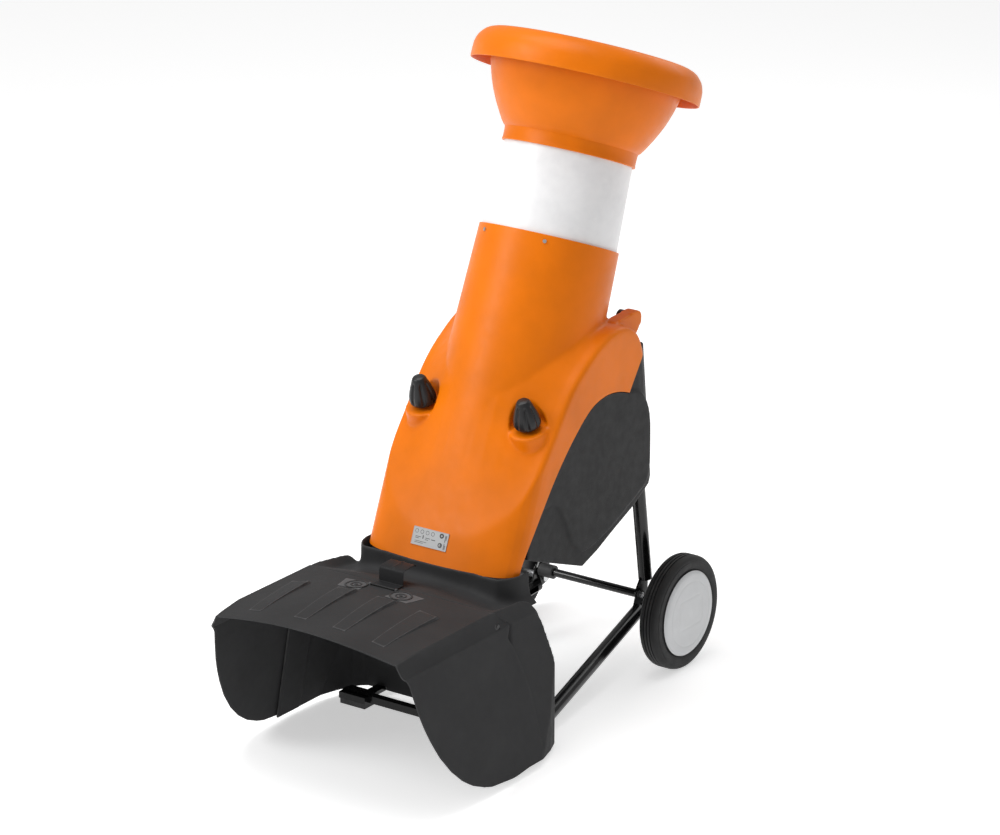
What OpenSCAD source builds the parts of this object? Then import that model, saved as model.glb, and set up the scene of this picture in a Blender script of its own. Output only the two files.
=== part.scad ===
// Electric garden wood chipper: a wheeled frame with a motor housing and a
// discharge chute, and a leaning feed tower that swings open on a rear hinge.
// +X is the machine's right, -Y its front (the chute), +Z is up.

/* [Wheels and frame] */
// Diameter of each wheel
wheel_d = 250; // [230:5:260]
// Width of each tyre
tyre_w = 48; // [40:1:52]
// Diameter of the frame tubes
tube_d = 30; // [24:1:32]
// Wall thickness of the frame tubes
tube_wall = 1.5; // [1:0.5:3]

/* [Feed tower] */
// Backward lean of the feed tower, in degrees
lean = 22.6; // [22:0.1:23]
// Full width of the hood
hood_w = 376; // [368:2:380]
// Wall thickness of the moulded shells
wall = 3.2; // [2.5:0.1:3.5]
// Radius of the feed tube at its top
tube_top_r = 135.3; // [132:0.1:136]
// Radius of the hopper's outer rim
rim_r = 243; // [236:1:244]

/* [Cutting unit] */
// Forward tilt of the cutting disc and motor, in degrees
tilt = 16.5; // [16:0.1:17]
// Diameter of the cutting disc
disc_d = 244; // [220:2:250]
// Diameter of the motor case
motor_d = 132; // [120:2:134]
// Height of each hood knob
knob_h = 70; // [60:1:74]
// Radius of a hinge or pivot pin
pin_r = 5; // [4:0.5:5]

/* [Chute] */
// Wall thickness of the chute flap
flap_wall = 3; // [2.5:0.5:3.5]
// Rise of the flap's crown over its side edges
crown = 29; // [20:1:32]

/* [Hidden] */
$fn = 64;
fine = 128;
running = 0.05;   // radial clearance of a turning fit
slip = 3;         // gap between the flap and the housing it covers

// ---- Places: [y, z] unless a name says otherwise
tube_top = [313, 1124];             // centre of the feed tube's top ring
deck = [90, 545];                   // shaft axis at the cutting deck
axle = [414, wheel_d/2];
frame_bolt = [400, 147];
frame_x = 130;                      // side frames stand this far out
axle_r = 8;
leg_top = [121, 397, 446];
leg_foot = [424, 176];
back_y = 431;                       // back of the motor cover at the buttons
tube_r = tube_d/2;
foot_y = -148;
foot_bar_z = 12;
side_rear = [frame_x + 2, 396, 112];
side_front = [200, -70, 27];
tab_w = 4;                          // thickness of the plates welded to the tube ends
tab_h = 8;
flap_pivot = [-274, 319];
cover_half = hood_w/2 - 3;
half = hood_w/2;

// deck frame: v runs back up the tilted deck, w along the shaft, upwards
hinge_v = 309;
hinge_w = 159;
knob_at = [131, -75, 124];          // x, v and w of the floor that a knob stands on
hinge = from_deck(hinge_v, hinge_w);
deck_low = -40;                     // underside of the deck plate
deck_top = -34;
ring_top = 60;

// tower frame: t runs along the tower's axis from the feed tube's top ring
hood_top_t = -178;
hood_top_r = 148;
hood_flare = 0.0285;                // growth of the tower's radius per mm going down
tower_foot_t = -881;
hood_corner = [128, -118];            // centre of the hood's rounded front corner
corner_r = 60;

function from_deck(v, w) = [deck.x + v*cos(tilt) - w*sin(tilt), deck.y + v*sin(tilt) + w*cos(tilt)];
function unit(v) = v/norm(v);
// A closed outline, listed anticlockwise, moved inwards by d with its corners kept sharp
function inset(p, d) = let (n = len(p)) [
  for (i = [0:n-1])
    let (a = unit(p[i] - p[(i + n - 1) % n]), b = unit(p[(i + 1) % n] - p[i]))
    p[i] - d*[a.y + b.y, -a.x - b.x]/(1 + a*b)
];
// Radius of the tower's outer skin at t
function tower_r(t) = hood_top_r + (hood_top_t - t)*hood_flare;

// ---- Ways of placing a shape
module across(w) { rotate([90, 0, 90]) linear_extrude(w, center = true) children(); }
module slab(x0, x1) { translate([x0, 0, 0]) rotate([90, 0, 90]) linear_extrude(x1 - x0) children(); }
module lengthwise(y0, y1) { translate([0, y1, 0]) rotate([90, 0, 0]) linear_extrude(y1 - y0) children(); }
module tower_frame() { translate([0, tube_top.x, tube_top.y]) rotate([-lean, 0, 0]) children(); }
module deck_frame() { translate([0, deck.x, deck.y]) rotate([tilt, 0, 0]) children(); }
module both_sides() { children(); mirror([1, 0, 0]) children(); }
module rod_x(x0, x1, at, r) { translate([x0, at.x, at.y]) rotate([0, 90, 0]) cylinder(x1 - x0, r = r); }
module rod(a, b, r) {
  d = b - a;
  translate(a) rotate([0, acos(d.z/norm(d)), atan2(d.y, d.x)]) cylinder(norm(d), r = r);
}
module washer(h, r, bore) {
  difference() {
    cylinder(h, r = r);
    translate([0, 0, -1]) cylinder(h + 2, r = bore);
  }
}

// ---- Chute: one cross-section carries the flap, and its insets carry the housing
wing_top = [242, 309];
wing_foot = [302.2, -40];
plate_edge = [222, 340];
function crown_at(x) = plate_edge.y + crown*(1 - pow(x/plate_edge.x, 2));
crown_pts = [for (i = [-6:6]) let (x = -i/6*plate_edge.x) [x, crown_at(x)]];
chute_section = concat([[-wing_foot.x, wing_foot.y], wing_foot, wing_top, [242, 313]], crown_pts,
                       [[-242, 313], [-wing_top.x, wing_top.y]]);
lip_y = -611;              // foremost point of the flap
lip_bow = 1770;            // plan radius of its front edge
plate_rear = [[-283, 340], [-320, 371]];    // slanting rear edge of the flap's plate
ear_r = 34;
ear_in = 219.5;

wing_side = [
  [lip_y - 1, 420], [lip_y - 1, 316], [-585, 308], [-578, 297], [-572, 269], [-562, 229], [-552, 200],
  [-539, 170], [-519, 132], [-490, 93], [-459, 63], [-430, 43], [-391, 26], [-354, 16], [-319, 13],
  [-279, 13], [-233, 15], [-197, 17], [-189, 22], [-189, 48], [-192, 89], [-199, 150], [-210, 196],
  [-223, 233], [-237, 266], [-254, 287], [-277, 301], [-300, 309], [-308, 340], [-308, 420]
];
module chute_flap() {
  color([0.22, 0.22, 0.22]) difference() {
    union() {
      intersection() {
        difference() {
          lengthwise(lip_y - 1, -180) polygon(chute_section);
          lengthwise(lip_y - 2, -179) polygon(inset(chute_section, flap_wall));
          // the plate stops at its slanting rear edge
          across(2*plate_edge.x - 6)
            polygon([plate_rear[1], [-320, 330], [-100, 330], [-100, 420], [-330, 420]]);
        }
        across(700) polygon(wing_side);
        translate([0, lip_y + lip_bow, 0]) cylinder(500, r = lip_bow, $fn = 256);
      }
      both_sides() intersection() {
        lengthwise(lip_y - 1, -180) polygon(chute_section);
        rod_x(ear_in, 243, flap_pivot, ear_r);
      }
    }
    both_sides() rod_x(ear_in - 1, 260, flap_pivot, pin_r + running);
  }
  color([0.22, 0.22, 0.22]) clip_pivot();
}
housing_section = inset(chute_section, flap_wall + slip);
housing_shoulder = [for (p = housing_section) if (p.x > 100 && p.y > 320) p];
housing_wall = 4;
housing_front = -330;
housing_back = [
  [-79, 15], [-84, 64], [-94, 147], [-108, 213], [-129, 282], [-145, 317], [-168, 337], [-181, 380]
];
// plan of the housing's right side: it draws in towards the rear corner
housing_corner = [
  [400, -231], [300, -230], [287, -184], [275, -142], [260, -106], [248, -90], [232, -78], [232, -60]
];
collar_low = 330;
collar_high = 374;
collar_front = -182;
collar_rear = -106;
collar_bow = 822;                     // plan radius of its front
drop_hole = [330, 44];                // width and depth of the hole under the hood
drop_y = -154;
module collar_outline(r) {
  // follows the hood's rounded foot, r outside it
  corner = [hood_corner.x, collar_rear - 23];
  translate([-half - r, corner.y]) square([hood_w + 2*r, collar_rear - corner.y]);
  intersection() {
    translate([-half - r, collar_front - r]) square([hood_w + 2*r, collar_rear - collar_front + r]);
    union() {
      mirrored_plan() translate(corner) circle(corner_r + r, $fn = fine);
      translate([-corner.x, collar_front + 4 - r]) square([2*corner.x, collar_rear - collar_front]);
      translate([0, collar_front + collar_bow]) circle(collar_bow + r, $fn = 256);
    }
  }
}
module mirrored_plan() { children(); mirror([1, 0]) children(); }
module housing_plan(wall) {
  side = [for (p = housing_corner) p - wall*[0.93, 0.38]];
  translate([0, 0, -100]) linear_extrude(600) polygon(concat(
    [[-400, -400], [400, -400]], side, [for (i = [len(side) - 1:-1:0]) [-side[i].x, side[i].y]]));
}
module chute_housing() {
  color([0.17, 0.17, 0.17]) difference() {
    union() {
      difference() {
        intersection() {
          lengthwise(housing_front, -70) polygon(housing_section);
          across(700)
            polygon(concat([[housing_front, 420], [housing_front + 6, 300], [-262, 15]], housing_back));
          housing_plan(0);
        }
        intersection() {
          lengthwise(housing_front - 1, -70) polygon(inset(housing_section, housing_wall));
          across(700) polygon(concat([[housing_front - 9, 430], [housing_front - 9, 10]],
            [for (p = housing_back) [p.x - 4.2, p.y - (p.y > 300 ? 0 : 6)]]));
          housing_plan(4.2);
        }
        // hole that the chips fall through, under the hood
        translate([-drop_hole.x/2, drop_y - drop_hole.y/2, 300]) cube([drop_hole.x, drop_hole.y, 100]);
        // notches over the side tubes' tabs
        both_sides() translate([side_front.x - 14, -100, 0]) cube([28, 40, foot_bar_z + tab_h + 0.5]);
      }
      // collar round the hood's foot
      difference() {
        translate([0, 0, collar_low]) linear_extrude(collar_high - collar_low) collar_outline(9);
        translate([0, 0, collar_low - 1]) linear_extrude(collar_high) collar_outline(5);
      }
      // rear apron up to the base housing's tray
      translate([-drop_hole.x/2 - 8, -127, 270]) cube([drop_hole.x + 16, 4, 104]);
    }
    // shallow seats that the flap's ears turn in
    both_sides() rod_x(ear_in - 2.5, 320, flap_pivot, ear_r + 2);
    both_sides() rod_x(200, 320, flap_pivot, pin_r);
  }
  color([0.17, 0.17, 0.17]) both_sides() difference() {
    rod_x(ear_in - 6.5, ear_in - 2.5, flap_pivot, ear_r + 6);
    rod_x(200, 320, flap_pivot, pin_r);
    lengthwise(-400, -100) polygon(concat([[230, 420], [120, 420]], housing_shoulder));
  }
}
module flap_pins() {
  color("silver") both_sides() rod_x(ear_in - 7, 238, flap_pivot, pin_r);
}
// latch clip: a bent strip on a pin between two small ears of the flap's plate
clip_w = 60;
clip_pin = [-338, 371.8];
clip_foot = clip_pin.y - 2.1;
module flap_clip() {
  color([0.12, 0.12, 0.12]) difference() {
    union() {
      across(clip_w) polygon([
        [clip_pin.x, clip_foot], [-311, clip_foot], [-309.5, 396], [-303, 400], [-272, 402], [-268, 398],
        [-266, 399.4], [-271, 404], [-304, 402.2], [-311.5, 397.5], [-313, clip_foot + 1.8],
        [clip_pin.x, clip_foot + 1.8]
      ]);
      rod_x(-clip_w/2, clip_w/2, clip_pin, 2.1);
    }
    rod_x(-clip_w, clip_w, clip_pin, 1 + running);
  }
}
module clip_pivot() {
  rod_x(-clip_w/2 - 4, clip_w/2 + 4, clip_pin, 1);
  both_sides() translate([clip_w/2 + 0.5, clip_pin.x - 3, 365]) cube([4, 6, clip_pin.y - 362.5]);
}

// ---- Frame
module foot_bar() {
  color([0.1, 0.1, 0.1]) {
    translate([-246, foot_y - 9, foot_bar_z]) cube([492, 18, 16]);
    both_sides() translate([178, foot_y - 22, foot_bar_z]) cube([68, 44, 14]);
  }
}
module foot_pads() {
  color([0.15, 0.15, 0.15]) both_sides() translate([180, foot_y - 20, 0]) cube([64, 40, foot_bar_z]);
}
module side_tube() {
  color([0.06, 0.06, 0.06]) difference() {
    union() {
      rod(side_rear, side_front, tube_r);
      slab(frame_x, frame_x + tab_w)
        polygon([[378, 96], [426, 108], [432, 124], [420, 142], [404, 160], [388, 156], [376, 124]]);
      translate([side_front.x - 12, foot_y + 22, foot_bar_z]) cube([24, side_front.y - foot_y - 12, tab_h]);
    }
    rod(side_rear + [0, -12, -2.2], side_front, tube_r - tube_wall);
    rod_x(frame_x - 5, frame_x + 30, axle, axle_r);
    rod_x(frame_x - 5, frame_x + 30, frame_bolt, 4);
  }
}
module side_tube_right() { side_tube(); }
module side_tube_left() { mirror([1, 0, 0]) side_tube(); }
module leg_tube() {
  foot = [frame_x, leg_foot.x, leg_foot.y];
  color([0.06, 0.06, 0.06]) difference() {
    union() {
      rod(leg_top, foot, tube_r);
      slab(frame_x - tab_w, frame_x - 0.2)
        polygon([[408, 182], [388, 154], [394, 134], [404, 112], [424, 110], [432, 124], [436, 182]]);
    }
    rod(leg_top + [0, 0, 1], foot + [0, 0, 6], tube_r - tube_wall);
    rod_x(frame_x - 5, frame_x, axle, axle_r);
    rod_x(frame_x - 5, frame_x, frame_bolt, 4);
  }
}
module leg_tube_right() { leg_tube(); }
module leg_tube_left() { mirror([1, 0, 0]) leg_tube(); }
module cross_tube() {
  color([0.06, 0.06, 0.06]) difference() {
    rod_x(4 - frame_x, frame_x - 4, frame_bolt, 9);
    rod_x(3 - frame_x, 44 - frame_x, frame_bolt, 4);
    rod_x(frame_x - 44, frame_x - 3, frame_bolt, 4);
  }
}
module tube_sleeve() {
  color([0.1, 0.1, 0.1]) difference() {
    rod_x(6 - frame_x, 40 - frame_x, frame_bolt, 15);
    rod_x(5 - frame_x, 41 - frame_x, frame_bolt, 9);
  }
}
module stub_axle() {
  color("silver") {
    rod_x(frame_x - 4, 252, axle, axle_r);
    rod_x(frame_x - 10, frame_x - 4, axle, 10.5);
  }
}
module stub_axle_right() { stub_axle(); }
module stub_axle_left() { mirror([1, 0, 0]) stub_axle(); }
module frame_bolts() {
  color("silver") both_sides() {
    rod_x(frame_x - 30, frame_x + tab_w, frame_bolt, 4);
    translate([frame_x + tab_w, frame_bolt.x, frame_bolt.y]) rotate([0, 90, 0])
      cylinder(5.5, r = 7, $fn = 6);
  }
}
module axle_clips() {
  color("silver") both_sides() difference() {
    rod_x(248.6, 250.6, axle, 14);
    rod_x(248, 252, axle, axle_r);
  }
}

// ---- Wheels: half profiles turned about X
hub_in = 192;
tyre_in = 199;
tyre_out = tyre_in + tyre_w;
module turned_x() {
  translate([0, axle.x, axle.y]) rotate([90, 0, 90]) rotate_extrude($fn = fine) children();
}
module tyre() {
  r = wheel_d/2;
  groove = 2.4;
  color([0.13, 0.13, 0.13]) turned_x() difference() {
    polygon([
      [94, tyre_in + 5], [108, tyre_in], [r - 8, tyre_in + 1], [r - 2, tyre_in + 6], [r, tyre_in + 12],
      [r, tyre_out - 12], [r - 2, tyre_out - 6], [r - 8, tyre_out - 1], [108, tyre_out], [94, tyre_out - 5]
    ]);
    for (i = [0:3]) translate([r - groove, tyre_in + 9 + i*(tyre_w - 20)/3 - 1]) square([groove + 1, 3]);
  }
}
module tyre_right() { tyre(); }
module tyre_left() { mirror([1, 0, 0]) tyre(); }
module rim() {
  color([0.12, 0.12, 0.12]) turned_x() {
    polygon([
      [axle_r + running, hub_in], [18, hub_in], [18, 214], [86, 214], [86, tyre_in + 2], [94, tyre_in + 2],
      [94, tyre_out - 3], [86, tyre_out - 3], [86, 222], [18, 222], [18, 246], [axle_r + running, 246]
    ]);
  }
}
module rim_right() { rim(); }
module rim_left() { mirror([1, 0, 0]) rim(); }
module cap() {
  color([0.85, 0.85, 0.85]) turned_x() {
    polygon([
      [0, 255], [30, 254.6], [56, 253.8], [60, 252.4], [72, 252], [84, 250.2], [91, 247.4], [93.5, 244.5],
      [93.5, tyre_out - 2.8], [85.8, tyre_out - 2.8], [85.8, 232], [84, 232], [84, 246.5], [72, 249.4],
      [0, 253]
    ]);
  }
}
module cap_right() { cap(); }
module cap_left() { mirror([1, 0, 0]) cap(); }

// ---- Motor cover
cover_low = [
  [-90, 389], [109, 314], [165, 333], [226, 360], [301, 391], [351, 420], [402, 440], [426, 462], [434, 500],
  [424, 605], [407, 702], [396, 717], [352, 735]
];
cover_rake = 6.3;                     // forward lean of the cover's rounded back
cover_corner = [[185, 330], [182, 350], [172, 370], [157, 390], [140, 407], [118, 421], [96, 440]];
parting = [[268, 650], [227, 663], [179, 667], [124, 652], [61, 604], [0, 542], [-54, 474], [-90, 425]];
screw_x = 160;
module at_cover_screws() {
  deck_frame() both_sides() for (v = [-90, 10, 110]) translate([screw_x, v, deck_low]) children();
}
function both(p) = concat(p, [for (i = [len(p)-1:-1:0]) [-p[i].x, p[i].y]]);
module raked(outline) {
  translate([0, 0, 470]) rotate([cover_rake, 0, 0]) translate([0, 0, -300])
    linear_extrude(700) polygon(outline);
}
cover_plan = both(concat([[185, -200]], cover_corner));
module motor_cover() {
  color([0.2, 0.2, 0.21]) difference() {
    union() {
      difference() {
        intersection() {
          across(2*cover_half + 1) polygon(concat(cover_low, [[320, 727]], parting));
          raked(cover_plan);
        }
        intersection() {
          across(2*cover_half) polygon(inset(concat(cover_low, [[352, 900], [-90, 900]]), wall));
          raked(inset(cover_plan, wall));
        }
      }
      // tabs that the base housing's deck is screwed to
      at_cover_screws() translate([-10, -10, -5]) cube([cover_half - screw_x + 9, 20, 4.5]);
    }
    at_cover_screws() translate([0, 0, -10]) cylinder(20, r = 2.4);
    // opening that the base housing's tray leaves through
    translate([-drop_hole.x/2 - 0.5, -95, 403.6]) cube([drop_hole.x + 1, 12, 60]);
    // cooling slots
    for (i = [-4:4]) translate([i*22 - 4, 240, 330]) cube([8, 56, 80]);
    both_sides() rod(button_at(18, 560, -40), button_at(18, 560, 20), 12.6);
    rod(button_at(0, 522, -40), button_at(0, 522, 20), 7.6);
    translate([-23, back_y - 32, 449]) cube([46, 72, 38]);
    both_sides() rod(leg_top - [0, 0, 60], leg_top + [0, 0, 3], tube_r + 0.5);
  }
}
function button_at(x, z, out) = [x, back_y + out, z];
module cover_screws() {
  color("silver") at_cover_screws() {
    translate([0, 0, -8]) cylinder(3, r = 4.5);
    translate([0, 0, -5]) cylinder(9, r = 2);
  }
}

// ---- Base housing: deck, chamber ring, knob pillars and the tray to the chute
pillar_r = 14;
deck_half = cover_half - wall - 0.5;
module base_housing() {
  color([0.16, 0.16, 0.16]) difference() {
    union() {
      deck_frame() {
        translate([-deck_half, -135, deck_low]) cube([2*deck_half, 285, deck_top - deck_low]);
        translate([0, 0, deck_top]) cylinder(ring_top - deck_top, r = 138, $fn = fine);
        both_sides() translate([knob_at.x, knob_at.y, deck_top])
          cylinder(knob_at.z - 3.5 - deck_top, r = pillar_r);
      }
      across(drop_hole.x) polygon([[-26, 471], [-31, 474], [-123, 379], [-123, 374.5], [-119, 374.5]]);
    }
    deck_frame() {
      translate([0, 0, deck_top]) cylinder(200, r = 130, $fn = fine);
      translate([0, 0, deck_low - 1]) cylinder(10, r = 14);
      translate([-75, -160, deck_top]) cube([150, 120, 58]);
      both_sides() translate([knob_at.x, knob_at.y, 98]) cylinder(40, r = 9);
      for (a = [45:90:315]) rotate(a) translate([50, 0, deck_low - 1]) cylinder(20, r = 3);
    }
    at_cover_screws() translate([0, 0, -1]) cylinder(20, r = 2);
  }
}
module knob_bushes() {
  color("gold") deck_frame() both_sides() translate([knob_at.x, knob_at.y, 98]) washer(22, 9, 4.7);
}
bracket_x = [112, 124];
module hinge_brackets() {
  color([0.16, 0.16, 0.16]) deck_frame() both_sides() difference() {
    union() {
      slab(bracket_x[0], bracket_x[1]) polygon([
        [108, deck_top], [150, deck_top], [196, 30], [hinge_v + 13, hinge_w - 8],
        [hinge_v + 10, hinge_w + 10], [hinge_v - 9, hinge_w + 11], [160, 34]
      ]);
      rod_x(bracket_x[0], bracket_x[1], [hinge_v, hinge_w], 15);
    }
    rod_x(bracket_x[0] - 1, bracket_x[1] + 1, [hinge_v, hinge_w], pin_r);
  }
}
lug_x = [127, 156];
module hinge_pins() {
  color("silver") both_sides() {
    rod_x(bracket_x[0] - 3, bracket_x[0], hinge, 8);
    rod_x(bracket_x[0], lug_x[1] - 4, hinge, pin_r);
  }
}

// ---- Motor
motor_r = motor_d/2;
case_w = [-178, -58];
module motor_case() {
  color([0.55, 0.56, 0.58]) deck_frame() difference() {
    union() {
      translate([0, 0, case_w[0]]) cylinder(case_w[1] - case_w[0], r = motor_r, $fn = fine);
      // cooling ribs
      for (a = [0:15:345]) rotate(a) translate([motor_r - 1, -1, case_w[0] + 8])
        cube([4, 2, case_w[1] - case_w[0] - 16]);
    }
    translate([0, 0, case_w[0] - 1]) cylinder(200, r = motor_r - 4, $fn = fine);
  }
}
module stator_core() {
  color([0.4, 0.4, 0.42]) deck_frame() translate([0, 0, -150]) difference() {
    cylinder(60, r = motor_r - 4, $fn = fine);
    translate([0, 0, -1]) cylinder(62, r = 38.5);
    for (a = [0:15:345]) rotate(a) translate([42, -1.5, -1]) cube([9, 3, 62]);
  }
}
module stator_windings() {
  color([0.72, 0.4, 0.16]) deck_frame() for (w = [-166, -90]) translate([0, 0, w]) rotate_extrude()
    translate([50, 8]) square([16, 16], center = true);
}
module end_shield(low, high) {
  color([0.6, 0.6, 0.62]) deck_frame() translate([0, 0, low]) difference() {
    cylinder(high - low, r = motor_r, $fn = fine);
    translate([0, 0, -1]) cylinder(high - low + 2, r = 22);
    for (a = [45:90:315]) rotate(a) translate([50, 0, -1]) cylinder(high - low + 2, r = 3.2);
  }
}
module upper_end_shield() { end_shield(case_w[1], deck_low); }
module lower_end_shield() { end_shield(case_w[0] - 12, case_w[0]); }
module bearing(w) {
  color([0.75, 0.76, 0.78]) deck_frame() translate([0, 0, w]) washer(12, 22, 10 + running);
}
module upper_bearing() { bearing(-56); }
module lower_bearing() { bearing(case_w[0] - 12); }
module run_capacitor() {
  color([0.8, 0.8, 0.82]) {
    translate([118, 220, 410]) cylinder(78, r = 20);
    translate([112, 218, 488]) cube([3, 6, 10]);
    translate([121, 218, 488]) cube([3, 6, 10]);
  }
}
module switch_box() {
  color([0.12, 0.12, 0.13]) difference() {
    translate([-40, back_y - 46, 506]) cube([80, 36.5, 76]);
    both_sides() rod(button_at(18, 560, -27), button_at(18, 560, 20), 12.3);
    rod(button_at(0, 522, -27), button_at(0, 522, 20), 7.3);
  }
}
module mains_inlet() {
  color([0.1, 0.1, 0.1]) difference() {
    union() {
      translate([-22, back_y - 30, 450]) cube([44, 34.6, 36]);
      translate([-28, back_y + 4.6, 444]) cube([56, 3, 48]);
    }
    translate([-18, back_y - 24, 454]) cube([36, 40, 28]);
  }
  // contact pins
  color("silver") for (x = [-9, 0, 9]) translate([x, back_y - 25, x == 0 ? 460 : 466])
    rotate([-90, 0, 0]) cylinder(19, r = 2);
}

// ---- Rotor
module rotor_shaft() {
  color("silver") deck_frame() difference() {
    union() {
      translate([0, 0, -200]) cylinder(202, r = 10);
      cylinder(19, r = 8);
    }
    translate([0, 0, -15]) cylinder(40, r = 5);
  }
}
module rotor_core() {
  color([0.45, 0.45, 0.47]) deck_frame() translate([0, 0, -150]) washer(60, 38, 10);
}
disc_w = [2, 10];
module cutter_disc() {
  color([0.62, 0.63, 0.65]) deck_frame() difference() {
    translate([0, 0, disc_w[0]]) cylinder(disc_w[1] - disc_w[0], r = disc_d/2, $fn = fine);
    cylinder(20, r = 8);
    for (a = [0, 180]) rotate(a) translate([30, 19, 0]) cube([82, 12, 20]);
  }
}
module chipper_knives() {
  color([0.8, 0.81, 0.83]) deck_frame() for (a = [0, 180]) rotate(a) difference() {
    translate([0, 0, disc_w[1]]) rotate([90, 0, 90]) translate([0, 0, 30])
      linear_extrude(82) polygon([[-16, 0], [20, 0], [23, 2], [18, 4], [-16, 4]]);
    for (x = [48, 94]) translate([x, -4, 0]) cylinder(30, r = 3);
  }
}
module wing_knife() {
  color([0.7, 0.71, 0.73]) deck_frame() difference() {
    union() {
      translate([-60, -17, disc_w[1] + 4]) cube([120, 34, 5]);
      // upturned wings
      for (a = [0, 180]) rotate(a) translate([55, -17, disc_w[1] + 4]) rotate([0, -50, 0])
        cube([34, 34, 5]);
    }
    cylinder(30, r = 8);
  }
}
module disc_bolt() {
  color("silver") deck_frame() {
    translate([0, 0, -14]) cylinder(34, r = 5);
    translate([0, 0, 19]) cylinder(3, r = 15);
    translate([0, 0, 22]) cylinder(9, r = 11, $fn = 6);
  }
}
module blower_wheel() {
  color([0.3, 0.31, 0.33]) deck_frame() difference() {
    union() {
      translate([0, 0, -32]) cylinder(2, r = 118, $fn = fine);
      translate([0, 0, -32]) cylinder(34, r = 24);
      for (a = [0:60:300]) rotate(a) translate([22, -1.5, -31]) cube([95, 3, 31]);
    }
    translate([0, 0, -40]) cylinder(60, r = 10);
  }
}
module cooling_fan() {
  color([0.15, 0.15, 0.15]) deck_frame() translate([0, 0, -199]) difference() {
    union() {
      cylinder(8, r = 16);
      cylinder(1.6, r = 52);
      for (a = [0:40:320]) rotate(a) translate([14, -1, 0]) cube([37, 2, 8]);
    }
    translate([0, 0, -1]) cylinder(12, r = 10);
  }
}

// ---- Buttons on the back
module start_button() { color("green") button(-18, 560, 12); }
module stop_button() { color("red") button(18, 560, 12); }
module reset_button() { color([0.1, 0.1, 0.1]) button(0, 522, 7); }
module button(x, z, r) { rod(button_at(x, z, -20), button_at(x, z, 4), r); }

// ---- Hood
hood_foot = 370;
hood_front = [
  [-178, hood_foot], [-142, 440], [-92, 530], [-48, 600], [0, 658], [55, 712], [121, 759], [176, 789],
  [232, 800], [280, 788], [307, 764], [322, 731]
];
hood_rear = [
  [268, 652], [227, 665], [179, 669], [124, 654], [61, 606], [0, 544], [-54, 476], [-111, 400],
  [-127, hood_foot]
];
column_back = [[-260, hood_foot], [-260, 1100], [520, 1100], [520, 860], [345, 780], [322, 731]];
hollow_back = [[-212, 300], [335, 300], [337, 700]];
function backwards(p) = [for (i = [len(p)-1:-1:0]) p[i]];
module hood_plan(r) {
  // plan across the tower's axis, its front corners rounded; r is the wall taken off
  translate([-half + r, hood_corner.y + 10]) square([hood_w - 2*r, 700]);
  translate([-hood_corner.x, hood_corner.y - corner_r + r]) square([2*hood_corner.x, 200]);
  mirrored_plan() translate(hood_corner) circle(corner_r - r, $fn = fine);
}
module tower_cone(r_less, low, high) {
  tower_frame() translate([0, 0, low])
    cylinder(high - low, r1 = tower_r(low) - r_less, r2 = tower_r(high) - r_less, $fn = fine);
}
pocket_r = 40;
pocket_wall = 3;
pocket_h = 110;
turret_h = 86;
module at_knobs() { deck_frame() both_sides() translate(knob_at) children(); }
module hood_body() {
  intersection() {
    across(hood_w) polygon(backwards(concat(hood_front, hood_rear)));
    tower_frame() translate([0, 0, tower_foot_t - 60]) linear_extrude(900) hood_plan(0);
  }
  intersection() {
    tower_cone(0, tower_foot_t, hood_top_t);
    across(hood_w) polygon(backwards(concat(column_back, hood_rear)));
  }
}
module hood_hollow() {
  intersection() {
    across(hood_w - 2*wall) polygon(inset(concat(hollow_back, backwards(hood_front)), wall));
    tower_frame() translate([0, 0, tower_foot_t - 60]) linear_extrude(900) hood_plan(wall);
  }
  tower_cone(wall, tower_foot_t - 40, hood_top_t + 1);
}
module hood() {
  color([0.94, 0.49, 0.06]) difference() {
    union() {
      difference() {
        union() {
          hood_body();
          at_knobs() translate([0, 0, -turret_h]) cylinder(turret_h, r = pocket_r + pocket_wall);
        }
        hood_hollow();
        at_knobs() translate([0, 0, -turret_h - 60]) cylinder(turret_h + 60 - pocket_wall, r = pocket_r);
      }
      // walls of the knob pockets
      intersection() {
        hood_body();
        at_knobs() translate([0, 0, -pocket_wall]) cylinder(pocket_h, r = pocket_r + pocket_wall);
      }
      // hinge lugs
      both_sides() difference() {
        union() {
          rod_x(lug_x[0], lug_x[1], hinge, 22);
          slab(lug_x[0], lug_x[1]) polygon([
            [258, 776], [322, 733], [hinge.x + 14, hinge.y - 17], [hinge.x + 8, hinge.y + 20], [276, 800]
          ]);
        }
        tower_cone(wall, tower_foot_t, 0);
      }
    }
    at_knobs() cylinder(pocket_h + 20, r = pocket_r);
    at_knobs() translate([0, 0, -10]) cylinder(20, r = 4 + running);
    both_sides() rod_x(lug_x[0] - 2, lug_x[1] - 3.5, hinge, pin_r + running);
    // ways for the hinge brackets
    both_sides() translate([bracket_x[0] - 2.5, 285, 700])
      cube([bracket_x[1] - bracket_x[0] + 5, 100, 130]);
  }
}
module feed_tube() {
  bottom_t = -205;
  top_t = 22;
  color([0.94, 0.94, 0.94]) tower_frame() difference() {
    translate([0, 0, bottom_t])
      cylinder(top_t - bottom_t, r1 = 144.2, r2 = tube_top_r - 0.4, $fn = fine);
    translate([0, 0, bottom_t - 0.01])
      cylinder(top_t - bottom_t + 0.02, r1 = 141.2, r2 = tube_top_r - 3.4, $fn = fine);
  }
}
bowl = [[139, 0], [141.5, 29], [161, 57], [176, 85], [188.5, 115], [197, 143], [201, 158]];
bowl_wall = 3.6;
rim_low = 153;
rim_top = 223;
rim_profile = [
  [201.5, 200], [206, rim_top - 8], [229, rim_top - 14], [rim_r - 4, 180], [rim_r - 3.5, rim_low],
  [rim_r, rim_low], [rim_r, 180], [rim_r - 2, 196], [232, 208], [222, 218], [208, rim_top], [199, 219],
  [197, 205]
];
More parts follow.
